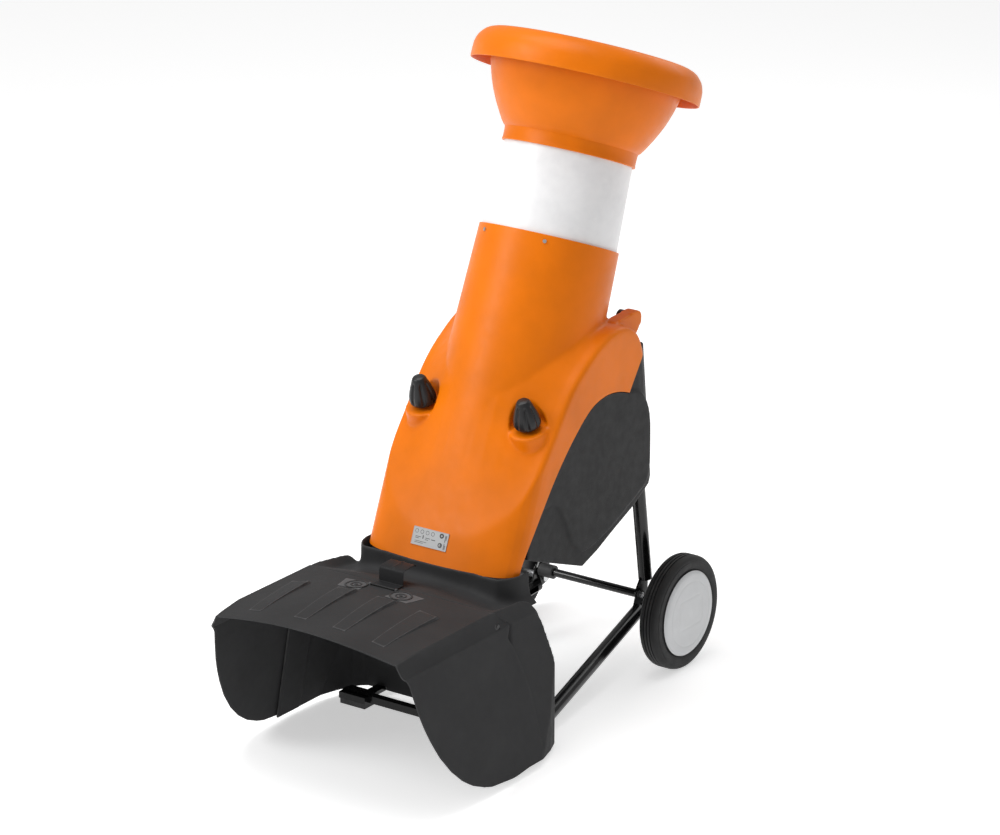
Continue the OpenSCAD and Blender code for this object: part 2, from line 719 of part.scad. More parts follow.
module hopper() {
  socket_r = tube_top_r + 0.5;
  color([0.94, 0.49, 0.06]) tower_frame() rotate_extrude($fn = fine) polygon(concat(
    bowl, rim_profile, [for (i = [6:-1:1]) bowl[i] - [bowl_wall, 0]], [[socket_r, 27], [socket_r, 0]]
  ));
}
module feed_funnel() {
  top_t = -330;
  foot_t = -600;
  color([0.16, 0.16, 0.16]) difference() {
    tower_frame() difference() {
      translate([0, 0, foot_t]) cylinder(top_t - foot_t, r1 = 62, r2 = 148.4, $fn = fine);
      translate([0, 0, foot_t]) cylinder(top_t - foot_t + 1, r1 = 59, r2 = 145.7, $fn = fine);
    }
    deck_frame() translate([-300, -300, -200]) cube([600, 600, 266]);
  }
}
module tube_screws() {
  color("silver") tower_frame() for (a = [60, 120, 240, 300]) rotate(a)
    translate([0, 0, -192]) rotate([0, 90, 0]) translate([0, 0, hood_top_r + 0.6]) cylinder(2.2, r = 4);
}
module rating_plate() {
  color([0.75, 0.76, 0.78]) tower_frame() translate([-54, -169.4, -838]) cube([88, 1.2, 42]);
}

// ---- Knobs
module knob() {
  flutes = 7;
  color([0.1, 0.1, 0.1]) deck_frame() translate(knob_at) difference() {
    union() {
      translate([0, 0, 0.6]) cylinder(6, r = 28);
      translate([0, 0, 6.6]) cylinder(knob_h - 12, r1 = 28, r2 = 18);
      translate([0, 0, knob_h - 5.4]) cylinder(5.4, r1 = 18, r2 = 14);
    }
    for (i = [0:flutes-1]) rotate(i*360/flutes) translate([32, 0, 6]) rotate([0, -9, 0])
      cylinder(knob_h, r = 7);
    translate([0, 0, -1]) cylinder(30, r = 4);
  }
}
module knob_right() { knob(); }
module knob_left() { mirror([1, 0, 0]) knob(); }
module stud() {
  color("silver") deck_frame() translate(knob_at + [0, 0, -17]) cylinder(46, r = 4);
}
module stud_right() { stud(); }
module stud_left() { mirror([1, 0, 0]) stud(); }

chute_housing();
foot_bar();
foot_pads();
side_tube_left();
side_tube_right();
leg_tube_left();
leg_tube_right();
cross_tube();
tube_sleeve();
stub_axle_left();
stub_axle_right();
frame_bolts();
axle_clips();
motor_cover();
base_housing();
hinge_brackets();
hinge_pins();
flap_pins();
knob_bushes();
motor_case();
stator_core();
stator_windings();
upper_end_shield();
lower_end_shield();
upper_bearing();
lower_bearing();
run_capacitor();
switch_box();
mains_inlet();
cover_screws();
hood();
feed_tube();
hopper();
feed_funnel();
tube_screws();
rating_plate();
knob_left();
stud_left();
knob_right();
stud_right();
chute_flap();
flap_clip();
tyre_left();
rim_left();
cap_left();
tyre_right();
rim_right();
cap_right();
rotor_shaft();
rotor_core();
cutter_disc();
chipper_knives();
wing_knife();
disc_bolt();
blower_wheel();
cooling_fan();
start_button();
stop_button();
reset_button();
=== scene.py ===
import math

import bmesh
import bpy
import numpy as np
from mathutils import Matrix, Vector


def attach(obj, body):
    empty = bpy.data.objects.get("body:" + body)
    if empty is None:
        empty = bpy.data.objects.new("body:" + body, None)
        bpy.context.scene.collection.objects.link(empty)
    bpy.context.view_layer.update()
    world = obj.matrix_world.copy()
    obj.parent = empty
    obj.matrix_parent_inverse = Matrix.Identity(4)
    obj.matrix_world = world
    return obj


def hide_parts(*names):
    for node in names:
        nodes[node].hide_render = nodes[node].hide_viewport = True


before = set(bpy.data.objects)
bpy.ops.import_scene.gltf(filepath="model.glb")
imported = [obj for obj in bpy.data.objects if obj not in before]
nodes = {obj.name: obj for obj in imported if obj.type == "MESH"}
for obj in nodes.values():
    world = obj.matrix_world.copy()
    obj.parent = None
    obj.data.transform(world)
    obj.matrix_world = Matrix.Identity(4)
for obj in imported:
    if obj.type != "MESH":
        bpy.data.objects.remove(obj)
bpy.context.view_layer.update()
scene = bpy.context.scene

# ---- Studio: a wide pale floor that glows a little, three large soft lamps, and
# the camera that looks down on the machine's front right corner.
MM = 0.001
floor_half = 30.0


def add_mesh(name, points, faces, smooth=True):
    mesh = bpy.data.meshes.new(name)
    mesh.from_pydata([tuple(p) for p in points], [], faces)
    mesh.validate()
    mesh.polygons.foreach_set("use_smooth", [smooth] * len(mesh.polygons))
    piece = bpy.data.objects.new(name, mesh)
    scene.collection.objects.link(piece)
    return piece


def new_finish(name):
    finish = bpy.data.materials.new(name)
    finish.use_nodes = True
    tree = finish.node_tree
    return finish, tree, tree.nodes["Principled BSDF"]


studio_floor = add_mesh(
    "studio_floor", [(x, y, 0) for x, y in ((-floor_half, -floor_half), (floor_half, -floor_half),
                                            (floor_half, floor_half), (-floor_half, floor_half))], [(0, 1, 2, 3)]
)
paper, paper_tree, paper_shader = new_finish("studio_paper")
paper_shader.inputs["Base Color"].default_value = (0.86, 0.86, 0.86, 1)
paper_shader.inputs["Roughness"].default_value = 0.7
paper_shader.inputs["Specular IOR Level"].default_value = 0.1
paper_shader.inputs["Emission Color"].default_value = (1, 1, 1, 1)
paper_shader.inputs["Emission Strength"].default_value = 0.52
studio_floor.data.materials.append(paper)

world = bpy.data.worlds.new("studio_air")
scene.world = world
world.use_nodes = True
world.node_tree.nodes["Background"].inputs["Color"].default_value = (1.0, 1.0, 1.0, 1)
world.node_tree.nodes["Background"].inputs["Strength"].default_value = 0.4


def soft_lamp(name, place, aim, size, power):
    lamp = bpy.data.lights.new(name, "AREA")
    lamp.shape = "RECTANGLE"
    lamp.size, lamp.size_y = size
    lamp.energy = power
    holder = bpy.data.objects.new(name, lamp)
    holder.location = place
    holder.rotation_euler = (Vector(aim) - Vector(place)).to_track_quat("-Z", "Y").to_euler()
    scene.collection.objects.link(holder)


soft_lamp("lamp_left", (-2.6, -3.4, 3.4), (0, 0, 0.7), (1.8, 2.4), 105)
soft_lamp("lamp_top", (-0.6, -0.4, 4.2), (0, 0, 0.6), (2.6, 2.6), 80)
soft_lamp("lamp_back", (0.5, 4.0, 3.0), (0, 0, 0.8), (3.0, 2.0), 30)

eye_place = Vector((4.7834, -6.6916, 3.5120))
eye_aim = Vector((-0.0222, 0.0995, 0.6028))
eye_data = bpy.data.cameras.new("studio_camera")
eye_data.lens = 153.0
eye_data.sensor_width = 36
eye = bpy.data.objects.new("studio_camera", eye_data)
eye.location = eye_place
eye.rotation_euler = (eye_aim - eye_place).to_track_quat("-Z", "Y").to_euler()
scene.collection.objects.link(eye)
scene.camera = eye
scene.view_settings.view_transform = "Standard"

# ---- Wheeled frame: round steel tubes, pressed flat and bolted at their ends,
# powder coated in gloss black. The bolts, axles and axle clips are zinc plated.


def grain(tree, scale, detail=4.0):
    """Fine noise that sits still on the moving piece."""
    place = tree.nodes.new("ShaderNodeTexCoord")
    noise = tree.nodes.new("ShaderNodeTexNoise")
    noise.inputs["Scale"].default_value = scale
    noise.inputs["Detail"].default_value = detail
    tree.links.new(place.outputs["Object"], noise.inputs["Vector"])
    return noise


def spread(tree, source, low, high, start=0.3, end=0.7):
    """Turns a 0 to 1 signal into a value between low and high."""
    spreader = tree.nodes.new("ShaderNodeMapRange")
    spreader.inputs["From Min"].default_value = start
    spreader.inputs["From Max"].default_value = end
    spreader.inputs["To Min"].default_value = low
    spreader.inputs["To Max"].default_value = high
    tree.links.new(source, spreader.inputs["Value"])
    return spreader.outputs["Result"]


def make_finish(name, colour, roughness, bump, bump_scale, metal=0.0, edge=None, coat=0.0, dust=0.02, shine=0.35):
    """A moulded or coated surface: slow colour drift, fine texture, rubbed edges and a film of dust. Where a light edge
    colour is given, as on the flap, the edge tint is a painted highlight instead of wear.
    """
    finish, tree, shader = new_finish(name)
    drift = grain(tree, 9.0)
    fine = grain(tree, bump_scale, 6.0)
    mottle = grain(tree, 55.0, 5.0)
    darker = [c * 0.9 for c in colour]
    lighter = [min(1, c * 1.06) for c in colour]
    ramp = tree.nodes.new("ShaderNodeValToRGB")
    ramp.color_ramp.elements[0].color = (*darker, 1)
    ramp.color_ramp.elements[0].position = 0.3
    ramp.color_ramp.elements[1].color = (*lighter, 1)
    ramp.color_ramp.elements[1].position = 0.7
    tree.links.new(drift.outputs["Fac"], ramp.inputs["Fac"])
    wear_and_highlight_mix = tree.nodes.new("ShaderNodeMix")
    wear_and_highlight_mix.data_type = "RGBA"
    edge_colour = edge or [c + (1 - c) * 0.1 for c in colour]
    wear_and_highlight_mix.inputs["B"].default_value = (*edge_colour, 1)
    shape = tree.nodes.new("ShaderNodeNewGeometry")
    # Pointiness tints the edges with the edge colour: rubbed wear, and on the flap a painted highlight along its rims.
    wear_and_highlight_edges = spread(tree, shape.outputs["Pointiness"], 0.0, 0.55, 0.53, 0.62)
    broken = tree.nodes.new("ShaderNodeMath")
    broken.operation = "MULTIPLY"
    tree.links.new(wear_and_highlight_edges, broken.inputs[0])
    tree.links.new(spread(tree, mottle.outputs["Fac"], 0.4, 1.0), broken.inputs[1])
    tree.links.new(broken.outputs["Value"], wear_and_highlight_mix.inputs["Factor"])
    tree.links.new(ramp.outputs["Color"], wear_and_highlight_mix.inputs["A"])
    dusty = tree.nodes.new("ShaderNodeMix")
    dusty.data_type = "RGBA"
    dusty.inputs["B"].default_value = (0.45, 0.43, 0.40, 1)
    facing = tree.nodes.new("ShaderNodeSeparateXYZ")
    tree.links.new(shape.outputs["Normal"], facing.inputs["Vector"])
    settled = tree.nodes.new("ShaderNodeMath")
    settled.operation = "MULTIPLY"
    tree.links.new(spread(tree, facing.outputs["Z"], 0.0, dust, 0.2, 1.0), settled.inputs[0])
    tree.links.new(spread(tree, mottle.outputs["Fac"], 0.1, 1.0), settled.inputs[1])
    tree.links.new(settled.outputs["Value"], dusty.inputs["Factor"])
    tree.links.new(wear_and_highlight_mix.outputs["Result"], dusty.inputs["A"])
    tree.links.new(dusty.outputs["Result"], shader.inputs["Base Color"])
    gloss = spread(tree, mottle.outputs["Fac"], roughness - 0.05, roughness + 0.07)
    tree.links.new(gloss, shader.inputs["Roughness"])
    relief = tree.nodes.new("ShaderNodeBump")
    relief.inputs["Strength"].default_value = bump
    relief.inputs["Distance"].default_value = 0.0004
    tree.links.new(fine.outputs["Fac"], relief.inputs["Height"])
    tree.links.new(relief.outputs["Normal"], shader.inputs["Normal"])
    shader.inputs["Metallic"].default_value = metal
    shader.inputs["Specular IOR Level"].default_value = shine
    shader.inputs["Coat Weight"].default_value = coat
    shader.inputs["Coat Roughness"].default_value = 0.12
    return finish


def clothe(finish, *names):
    """Gives carried-over CAD nodes their finish; their smooth shading with crisp edges is turned on at the end of the
    script.
    """
    for name in names:
        node = nodes[name]
        node.data.materials.clear()
        node.data.materials.append(finish)


gloss_black = make_finish("gloss_black_coat", (0.004, 0.004, 0.0042), 0.16, 0.03, 900, edge=(0.006, 0.006, 0.006),
                          dust=0.0, shine=0.45)
zinc = make_finish("zinc_plate", (0.62, 0.63, 0.64), 0.3, 0.15, 700, metal=1.0, dust=0.04)
foot_plastic = make_finish("foot_plastic", (0.012, 0.012, 0.013), 0.5, 0.3, 1400)
clothe(gloss_black, "side_tube_left", "side_tube_right", "leg_tube_left", "leg_tube_right", "cross_tube")
clothe(gloss_black, "foot_bar")
clothe(foot_plastic, "foot_pads", "tube_sleeve")
clothe(zinc, "stub_axle_left", "stub_axle_right", "frame_bolts", "axle_clips")

# ---- Motor and electrics inside the cover: a ribbed cast case with laminated
# core, copper windings, end shields, steel bearings, a capacitor and the switch.
cast_aluminium = make_finish("cast_aluminium", (0.42, 0.43, 0.44), 0.45, 0.6, 500, metal=1.0)
core_steel = make_finish("laminated_steel", (0.2, 0.2, 0.21), 0.42, 0.8, 300, metal=1.0)
copper = make_finish("varnished_copper", (0.5, 0.18, 0.06), 0.35, 1.0, 250, metal=1.0)
bearing_steel = make_finish("bearing_steel", (0.6, 0.61, 0.63), 0.2, 0.08, 800, metal=1.0)
can_aluminium = make_finish("capacitor_can", (0.7, 0.71, 0.72), 0.32, 0.1, 900, metal=1.0)
switch_black = make_finish("switch_black", (0.018, 0.018, 0.02), 0.35, 0.2, 1600)
clothe(cast_aluminium, "motor_case", "upper_end_shield", "lower_end_shield")
clothe(core_steel, "stator_core", "rotor_core")
clothe(copper, "stator_windings")
clothe(bearing_steel, "upper_bearing", "lower_bearing", "rotor_shaft")
clothe(can_aluminium, "run_capacitor")
clothe(switch_black, "switch_box", "mains_inlet")

# ---- Cutting unit: a steel disc with two bolted chipping knives, the wing
# knife and the centre bolt above it, and the blower wheel and fan below it.
disc_steel = make_finish("cutting_disc_steel", (0.36, 0.36, 0.37), 0.34, 0.5, 420, metal=1.0)
knife_steel = make_finish("ground_knife_steel", (0.66, 0.67, 0.69), 0.22, 0.2, 700, metal=1.0)
blower_grey = make_finish("blower_grey", (0.07, 0.072, 0.078), 0.45, 0.3, 900)
clothe(disc_steel, "cutter_disc")
clothe(knife_steel, "chipper_knives", "wing_knife")
clothe(zinc, "disc_bolt", "cover_screws")
clothe(blower_grey, "blower_wheel", "cooling_fan")

# ---- Base housing: one dark moulding with the chamber ring, knob pillars and
# the tray to the chute. Brackets, hinge pins and brass knob bushes sit in it.
dark_moulding = make_finish("dark_moulding", (0.012, 0.012, 0.013), 0.55, 0.35, 1300, shine=0.25)
brass = make_finish("brass_bush", (0.62, 0.42, 0.16), 0.28, 0.1, 800, metal=1.0)
clothe(dark_moulding, "base_housing", "hinge_brackets", "flap_pins")
clothe(zinc, "hinge_pins")
clothe(brass, "knob_bushes")

# ---- Motor cover: a deep dark tub, moulded in one piece, closed at the back and
# screwed up to the deck. Its sides carry a raised panel with an arched edge.
cover_half = 182.0
wall = 3.2


def eased(line, parts=5):
    """The same line as a smooth curve through its points."""
    ends = [line[0]] + line + [line[-1]]
    curve = []
    for p, q, r, s in zip(ends, ends[1:], ends[2:], ends[3:]):
        for k in range(parts):
            t = k / parts
            curve.append(tuple(0.5 * (2 * b + (c - a) * t + (2 * a - 5 * b + 4 * c - d) * t ** 2
                                      + (3 * b - a - 3 * c + d) * t ** 3) for a, b, c, d in zip(p, q, r, s)))
    return curve + [line[-1]]


tilt = math.radians(16.5)
deck_y, deck_z = 90.0, 545.0
cover_low = [(-90, 389), (109, 314), (165, 333), (226, 360), (301, 391), (351, 420), (402, 440), (426, 462),
             (434, 500), (424, 605), (407, 702), (396, 717), (352, 735)]
parting = eased([(-90, 425), (-54, 474), (0, 542), (61, 604), (124, 652), (179, 667), (227, 663), (268, 650)])
parting.append((322, 727))
cover_corner = [(182, 330), (180, 350), (171, 370), (157, 390), (140, 407), (118, 421), (96, 440)]
cover_rake = math.radians(6.3)


def across(u, v, w):
    """u is back, v is up and w is to the machine's right."""
    return (w * MM, u * MM, v * MM)


def upright(u, v, w):
    """u is to the right, v is back and w is up."""
    return (u * MM, v * MM, w * MM)


def prism(name, outline, low, high, place):
    """A closed solid from an outline, drawn between two heights."""
    area = sum(a[0] * b[1] - b[0] * a[1] for a, b in zip(outline, outline[1:] + outline[:1]))
    ring = outline if area > 0 else outline[::-1]
    n = len(ring)
    points = [place(u, v, low) for u, v in ring] + [place(u, v, high) for u, v in ring]
    faces = [tuple(range(n))[::-1], tuple(range(n, 2 * n))]
    faces += [(i, (i + 1) % n, n + (i + 1) % n, n + i) for i in range(n)]
    solid = add_mesh(name, points, faces, smooth=False)
    outward(solid)
    return solid


def outward(piece):
    """Makes every face look out of the solid."""
    shape = bmesh.new()
    shape.from_mesh(piece.data)
    bmesh.ops.recalc_face_normals(shape, faces=shape.faces)
    shape.to_mesh(piece.data)
    shape.free()


def settle(piece):
    """Turns a piece and its modifiers into one plain mesh."""
    ready = piece.evaluated_get(bpy.context.evaluated_depsgraph_get())
    made = bpy.data.meshes.new_from_object(ready)
    old = piece.data
    piece.modifiers.clear()
    piece.data = made
    bpy.data.meshes.remove(old)


def scrap(*pieces):
    for piece in pieces:
        mesh = piece.data
        bpy.data.objects.remove(piece)
        bpy.data.meshes.remove(mesh)


def work(piece, tool, operation):
    """One boolean cut, join or crossing of two closed solids, and the tool is used up."""
    step = piece.modifiers.new("cut", "BOOLEAN")
    step.object = tool
    step.operation = operation
    step.solver = "MANIFOLD"
    settle(piece)
    scrap(tool)
    return piece


def gather(piece, *others):
    """Puts the meshes of several closed solids into one piece."""
    shape = bmesh.new()
    for part in (piece, *others):
        shape.from_mesh(part.data)
    shape.to_mesh(piece.data)
    shape.free()
    scrap(*others)
    return piece


def soften(piece, grid, rounds):
    """Casts the piece anew on a fine grid and rounds its edges, as a mould does."""
    cast = piece.modifiers.new("cast", "REMESH")
    cast.mode = "VOXEL"
    cast.voxel_size = grid * MM
    settle(piece)
    ease = piece.modifiers.new("ease", "SMOOTH")
    ease.factor = 0.5
    ease.iterations = rounds
    settle(piece)


def near_path(u, v, path, reach=0.06):
    """True where (u, v) lies on a broken line."""
    for (au, av), (bu, bv) in zip(path, path[1:]):
        du, dv = bu - au, bv - av
        share = max(0.0, min(1.0, ((u - au) * du + (v - av) * dv) / (du * du + dv * dv)))
        if math.hypot(u - au - share * du, v - av - share * dv) < reach:
            return True
    return False


def open_where(piece, test):
    """Takes away the faces whose points all pass the test (in millimetres)."""
    shape = bmesh.new()
    shape.from_mesh(piece.data)
    marks = {v: test(*(v.co / MM)) for v in shape.verts}
    gone = [f for f in shape.faces if all(marks[v] for v in f.verts)]
    bmesh.ops.delete(shape, geom=gone, context="FACES")
    loose = [v for v in shape.verts if not v.link_faces]
    bmesh.ops.delete(shape, geom=loose, context="VERTS")
    shape.to_mesh(piece.data)
    shape.free()


def give_wall(piece, thickness):
    """A wall of even thickness behind the outer skin."""
    skin = piece.modifiers.new("wall", "SOLIDIFY")
    skin.thickness = thickness * MM
    skin.offset = -1
    settle(piece)


def shade(piece, crease=32):
    """Smooth shading that keeps the true edges crisp."""
    mesh = piece.data
    mesh.polygons.foreach_set("use_smooth", [True] * len(mesh.polygons))
    mesh.set_sharp_from_angle(angle=math.radians(crease))


def finish_piece(piece, finish, body, slot, *stands_for):
    piece.data.materials.clear()
    piece.data.materials.append(finish)
    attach(piece, body)
    if stands_for:
        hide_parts(*stands_for)


def from_deck(v, w):
    """Back and up, in the machine, of a point on the tilted cutting deck."""
    return (deck_y + v * math.cos(tilt) - w * math.sin(tilt), deck_z + v * math.sin(tilt) + w * math.cos(tilt))


def on_deck(x, v, w):
    y, z = from_deck(v, w)
    return (x * MM, y * MM, z * MM)


def raked(u, v, w):
    """The cover's plan is drawn square to its raked back."""
    y = v * math.cos(cover_rake) - (w - 470) * math.sin(cover_rake)
    z = 470 + v * math.sin(cover_rake) + (w - 470) * math.cos(cover_rake)
    return (u * MM, y * MM, z * MM)


def rod(name, centre, direction, length, radius, sides=48):
    """A closed round bar from a point along a direction, in millimetres."""
    turn = Vector((0, 0, 1)).rotation_difference(Vector(direction)).to_matrix()
    points = []
    for end in (0, length):
        for i in range(sides):
            a = 2 * math.pi * i / sides
            p = turn @ Vector((radius * math.cos(a), radius * math.sin(a), end)) + Vector(centre)
            points.append(p * MM)
    faces = [tuple(range(sides))[::-1], tuple(range(sides, 2 * sides))]
    faces += [(i, (i + 1) % sides, sides + (i + 1) % sides, sides + i) for i in range(sides)]
    bar = add_mesh(name, points, faces, smooth=False)
    outward(bar)
    return bar


def block(name, low, high):
    x0, y0, z0 = low
    x1, y1, z1 = high
    return prism(name, [(x0, y0), (x1, y0), (x1, y1), (x0, y1)], z0, z1, upright)


cover_plan = [(182, -200)] + cover_corner
cover_plan += [(-x, y) for x, y in reversed(cover_plan)]
cover = prism("cover_shell", cover_low + [(352, 800), (-90, 800)], -cover_half, cover_half, across)
work(cover, prism("plan", cover_plan, 150, 900, raked), "INTERSECT")
panel = eased([(-66, 484), (-38, 488), (-8, 485), (17, 467), (40, 429), (62, 384), (92, 356), (130, 352),
               (214, 376), (300, 414), (338, 434), (352, 470), (352, 560), (344, 600), (326, 630), (300, 646),
               (262, 654)], 3)
panel += [(262, 760), (-66, 760)]
for side in (-1, 1):
    edge_in, edge_out = sorted((side * 178.0, side * 187.4))
    gather(cover, prism("panel", panel, edge_in, edge_out, across))
soften(cover, 3.0, 7)
above = [(-91, 424.2)] + [(y, z) for y, z in parting[1:]] + [(352, 735), (500, 760), (500, 950), (-200, 950), (-200, 425)]
work(cover, prism("above", above, -260, 260, across), "DIFFERENCE")
rim_line = parting[:-1] + [(322, 727), (352, 735), (500, 760)]
open_where(cover, lambda x, y, z: near_path(y, z, [(-91, 424.2)] + rim_line[1:], 0.4) or z > 730)
give_wall(cover, wall)
slot_count = 9
for i in range(slot_count):
    x = (i - (slot_count - 1) / 2) * 22
    work(cover, block("vent", (x - 4, 240, 330), (x + 4, 296, 410)), "DIFFERENCE")
back_y = 431.0
for x, z, r in ((-18, 560, 12.6), (18, 560, 12.6), (0, 522, 7.6)):
    work(cover, rod("button_hole", (x, back_y - 40, z), (0, 1, 0), 60, r), "DIFFERENCE")
work(cover, block("inlet_hole", (-23, 399, 449), (23, 471, 487)), "DIFFERENCE")
work(cover, block("tray_way", (-165.5, -95, 403.6), (165.5, -83, 463)), "DIFFERENCE")
for side in (-1, 1):
    leg_hole = rod("leg_hole", (side * 121, 397, 386), (side * 0.033, 0.1, -1), -80, 15.5)
    work(cover, leg_hole, "DIFFERENCE")
shade(cover)
cover_grey = make_finish("cover_grey", (0.02, 0.02, 0.0205), 0.58, 0.4, 1500, shine=0.22, dust=0.01)
finish_piece(cover, cover_grey, "chassis", "black_plastic", "motor_cover")

# ---- Chute housing: a dark bell between the deck and the ground, with a smooth
# collar that the hood's foot drops into, and shallow seats for the flap's ears.
crown_half, crown_z, crown_rise = 222.0, 340.0, 29.0


def crown_at(x):
    return crown_z + crown_rise * (1 - (x / crown_half) ** 2)


def shouldered(x, y, z):
    """Lifts and widens the plate's long edges behind the lip, and lets them fall again at the back."""
    lift = float(np.interp(y, [-611, -575, -520, -270, -230, -180, -145], [0, 5, 10, 10, 7, 1, -8]))
    share = min(1.0, max(0.0, (z - 316) / 24)) if abs(x) > 222 else (x / 222) ** 2
    centre = 5.0 * math.cos(min(1.0, abs(y + 450) / 140) * math.pi / 2) ** 2 * max(0.0, 1 - (x / 222) ** 2)
    return (x + math.copysign(0.8 * abs(lift) * share ** 2, x), y, z + lift * share + centre)


def inset(ring, d):
    """A closed outline, listed anticlockwise, moved inwards with sharp corners."""
    moved = []
    n = len(ring)
    for i in range(n):
        p, q, s = (Vector(ring[i - 1]), Vector(ring[i]), Vector(ring[(i + 1) % n]))
        a, b = (q - p).normalized(), (s - q).normalized()
        moved.append(tuple(q - d * Vector((a.y + b.y, -a.x - b.x)) / (1 + a.dot(b))))
    return moved


section = [(-302.2, -40), (302.2, -40), (242, 309), (242, 313)]
section += [(x, crown_at(x)) for x in np.linspace(222, -222, 25)]
section += [(-242, 313), (-242, 309)]


def lengthwise(u, v, w):
    """u is to the right, v is up and w is back."""
    return (u * MM, w * MM, v * MM)


housing_back = [(-79, 15), (-84, 64), (-94, 147), (-108, 213), (-129, 282), (-145, 317), (-168, 337), (-181, 380)]
valley_deep = 24.0
bell = inset(section, 6)
rows_behind = list(np.linspace(0, 1, 19))


def seam_at(z):
    """Where the deck begins, just behind the flap."""
    return -320 + (371 - z) * 37 / 31 if z > 338 else -236.0


def valley(x, y):
    """How far the deck sinks on its way back to the collar."""
    t = min(1.0, max(0.0, (y + 300) / 90))
    side = min(1.0, max(0.0, (abs(x) - 198) / 24))
    return valley_deep * t * t * (3 - 2 * t) * (1 - side * side * (3 - 2 * side))


points, faces = [], []
count = len(bell)
columns = []
for (x, z), (x_out, z_out) in zip(bell, section):
    column = [(x, -345, z)]
    if z < 305:
        column += [(x, -300 + 40 * k, z) for k in range(2)] + [(x, -260 + 5 * k, z) for k in range(19)]
    else:
        start = seam_at(z_out)
        column += [(x, start + 0.6, z), shouldered(x_out, start + 1.6, z_out)]
        for k in rows_behind:
            y = start + 1.7 + (-140 - start) * k
            column.append(shouldered(x_out, y, z_out - valley(x_out, y)))
    x, y, z = column[-1]
    columns.append(column + [(x, -60, z)])
row_count = len(columns[0])
points = [(x * MM, y * MM, z * MM) for k in range(row_count) for x, y, z in (column[k] for column in columns)]
for k in range(row_count - 1):
    faces += [(k * count + i, k * count + (i + 1) % count, (k + 1) * count + (i + 1) % count, (k + 1) * count + i)
              for i in range(count)]
last = (row_count - 1) * count
faces += [tuple(range(count)), tuple(range(last, last + count))]
housing = add_mesh("chute_bell", points, faces)
outward(housing)
side_view = [(-345, 420), (-345, -20), (-76, -20)] + housing_back[:6]
side_view += [(-150, 328), (-164, 338), (-190, 346), (-205, 420)]
work(housing, prism("side_view", side_view, -400, 400, across), "INTERSECT")
corner_plan = [(400, -231), (300, -230), (287, -184), (275, -142), (260, -106), (248, -90), (232, -78), (232, -50)]
corner_plan = [(400, -500)] + corner_plan
corner_plan += [(-x, y) for x, y in reversed(corner_plan)]
work(housing, prism("corners", corner_plan, -200, 600, upright), "INTERSECT")
collar_top = 375.0


def collar_outline(r, back=-106):
    """The hood's rounded foot, drawn r outside it."""
    ring = [(188 + r, back)]
    for i in range(13):
        a = i / 12 * math.pi / 2
        x, y = 128 + (60 + r) * math.cos(a), -129 - (60 + r) * math.sin(a)
        bow = 640 - math.sqrt((822 + r) ** 2 - x * x)
        ring.append((x, max(y, min(bow, -182 - r + 6))))
    ring += [(x, max(-182 - r, 640 - math.sqrt((822 + r) ** 2 - x * x))) for x in np.linspace(110, 0, 8)]
    return ring + [(-x, y) for x, y in reversed(ring[:-1])]


rings = [(-7, 30), (0, 22), (3, 16), (7, 12), (14, 9.8), (22, 9)]
loops = []
for rise, r in rings:
    loops.append([(x, y, crown_at(x) - valley_deep + rise) for x, y in collar_outline(r)])
loops.append([(x, y, collar_top) for x, y in collar_outline(8.4)])
count = len(loops[0])
points = [(x * MM, y * MM, z * MM) for loop in loops for x, y, z in loop]
faces = [tuple(range(count)), tuple(range(len(rings) * count, len(loops) * count))]
for k in range(len(rings)):
    faces += [(k * count + i, k * count + (i + 1) % count, (k + 1) * count + (i + 1) % count, (k + 1) * count + i)
              for i in range(count)]
collar = add_mesh("collar", points, faces)
outward(collar)
gather(housing, collar)
soften(housing, 2.6, 8)
work(housing, block("below", (-400, -400, -100), (400, 0, 13)), "DIFFERENCE")
work(housing, block("front", (-400, -420, -100), (400, -330, 500)), "DIFFERENCE")
open_where(housing, lambda x, y, z: z < 13.05 or y < -329.95)
give_wall(housing, 3.8)
work(housing, prism("hood_well", collar_outline(5, -50), 343, 420, upright), "DIFFERENCE")
work(housing, block("drop_hole", (-165, -176, 300), (165, -132, 400)), "DIFFERENCE")
for side in (-1, 1):
    notch = block("tab_notch", (side * 200 - 14, -100, 0), (side * 200 + 14, -60, 20.5))
    work(housing, notch, "DIFFERENCE")
shade(housing)
# The chute's base colour is set lighter than the dark moulding to make up for its turned-down gloss: real dark grey
# with a painted sheen.
chute_grey = make_finish("chute_grey", (0.042, 0.0421, 0.0432), 0.55, 0.4, 1500, shine=0.04, dust=0.01)
finish_piece(housing, chute_grey, "chassis", "black_plastic", "chute_housing")

# the floor and the apron behind the collar
apron = block("drop_apron", (-173, -127, 290), (173, -123, 371))
deck_floor = prism("deck_floor", collar_outline(4), 343, 347, upright)
work(deck_floor, block("drop_hole", (-165, -176, 300), (165, -128, 400)), "DIFFERENCE")
for plate in (apron, deck_floor):
    shade(plate)
    finish_piece(plate, chute_grey, "chassis", "black_plastic")

# ---- Chute flap: one dark moulding that hangs over the bell on two pins. Its
# plate is crowned, with four ramped ribs, and its wings reach almost to the floor.
flap_wall = 3.0
lip_y, lip_bow = -611.0, 1770.0
pivot = (-274.0, 319.0)
ear_r = 34.0
wing_front = [(13, -300), (13.2, -330), (16, -354), (26, -391), (43, -430), (63, -459), (93, -490), (132, -519),
              (170, -539), (200, -552), (229, -562), (269, -572), (297, -578), (308, -585), (316, -594)]
wing_rear = [(13, -285), (13.2, -262), (15, -233), (17, -205), (22, -191), (48, -189), (89, -192), (150, -199),
             (196, -210), (233, -223), (266, -237), (287, -250), (300, -258)]


def along(table, z):
    zs = [p[0] for p in table]
    return float(np.interp(z, zs, [p[1] for p in table]))


def flap_top(x, y):
    """Height of the flap's plate at a point inside its long edges."""
    return shouldered(x, y, crown_at(x))[2]


def lip_at(x):
    return lip_y + lip_bow - math.sqrt(lip_bow ** 2 - x * x)


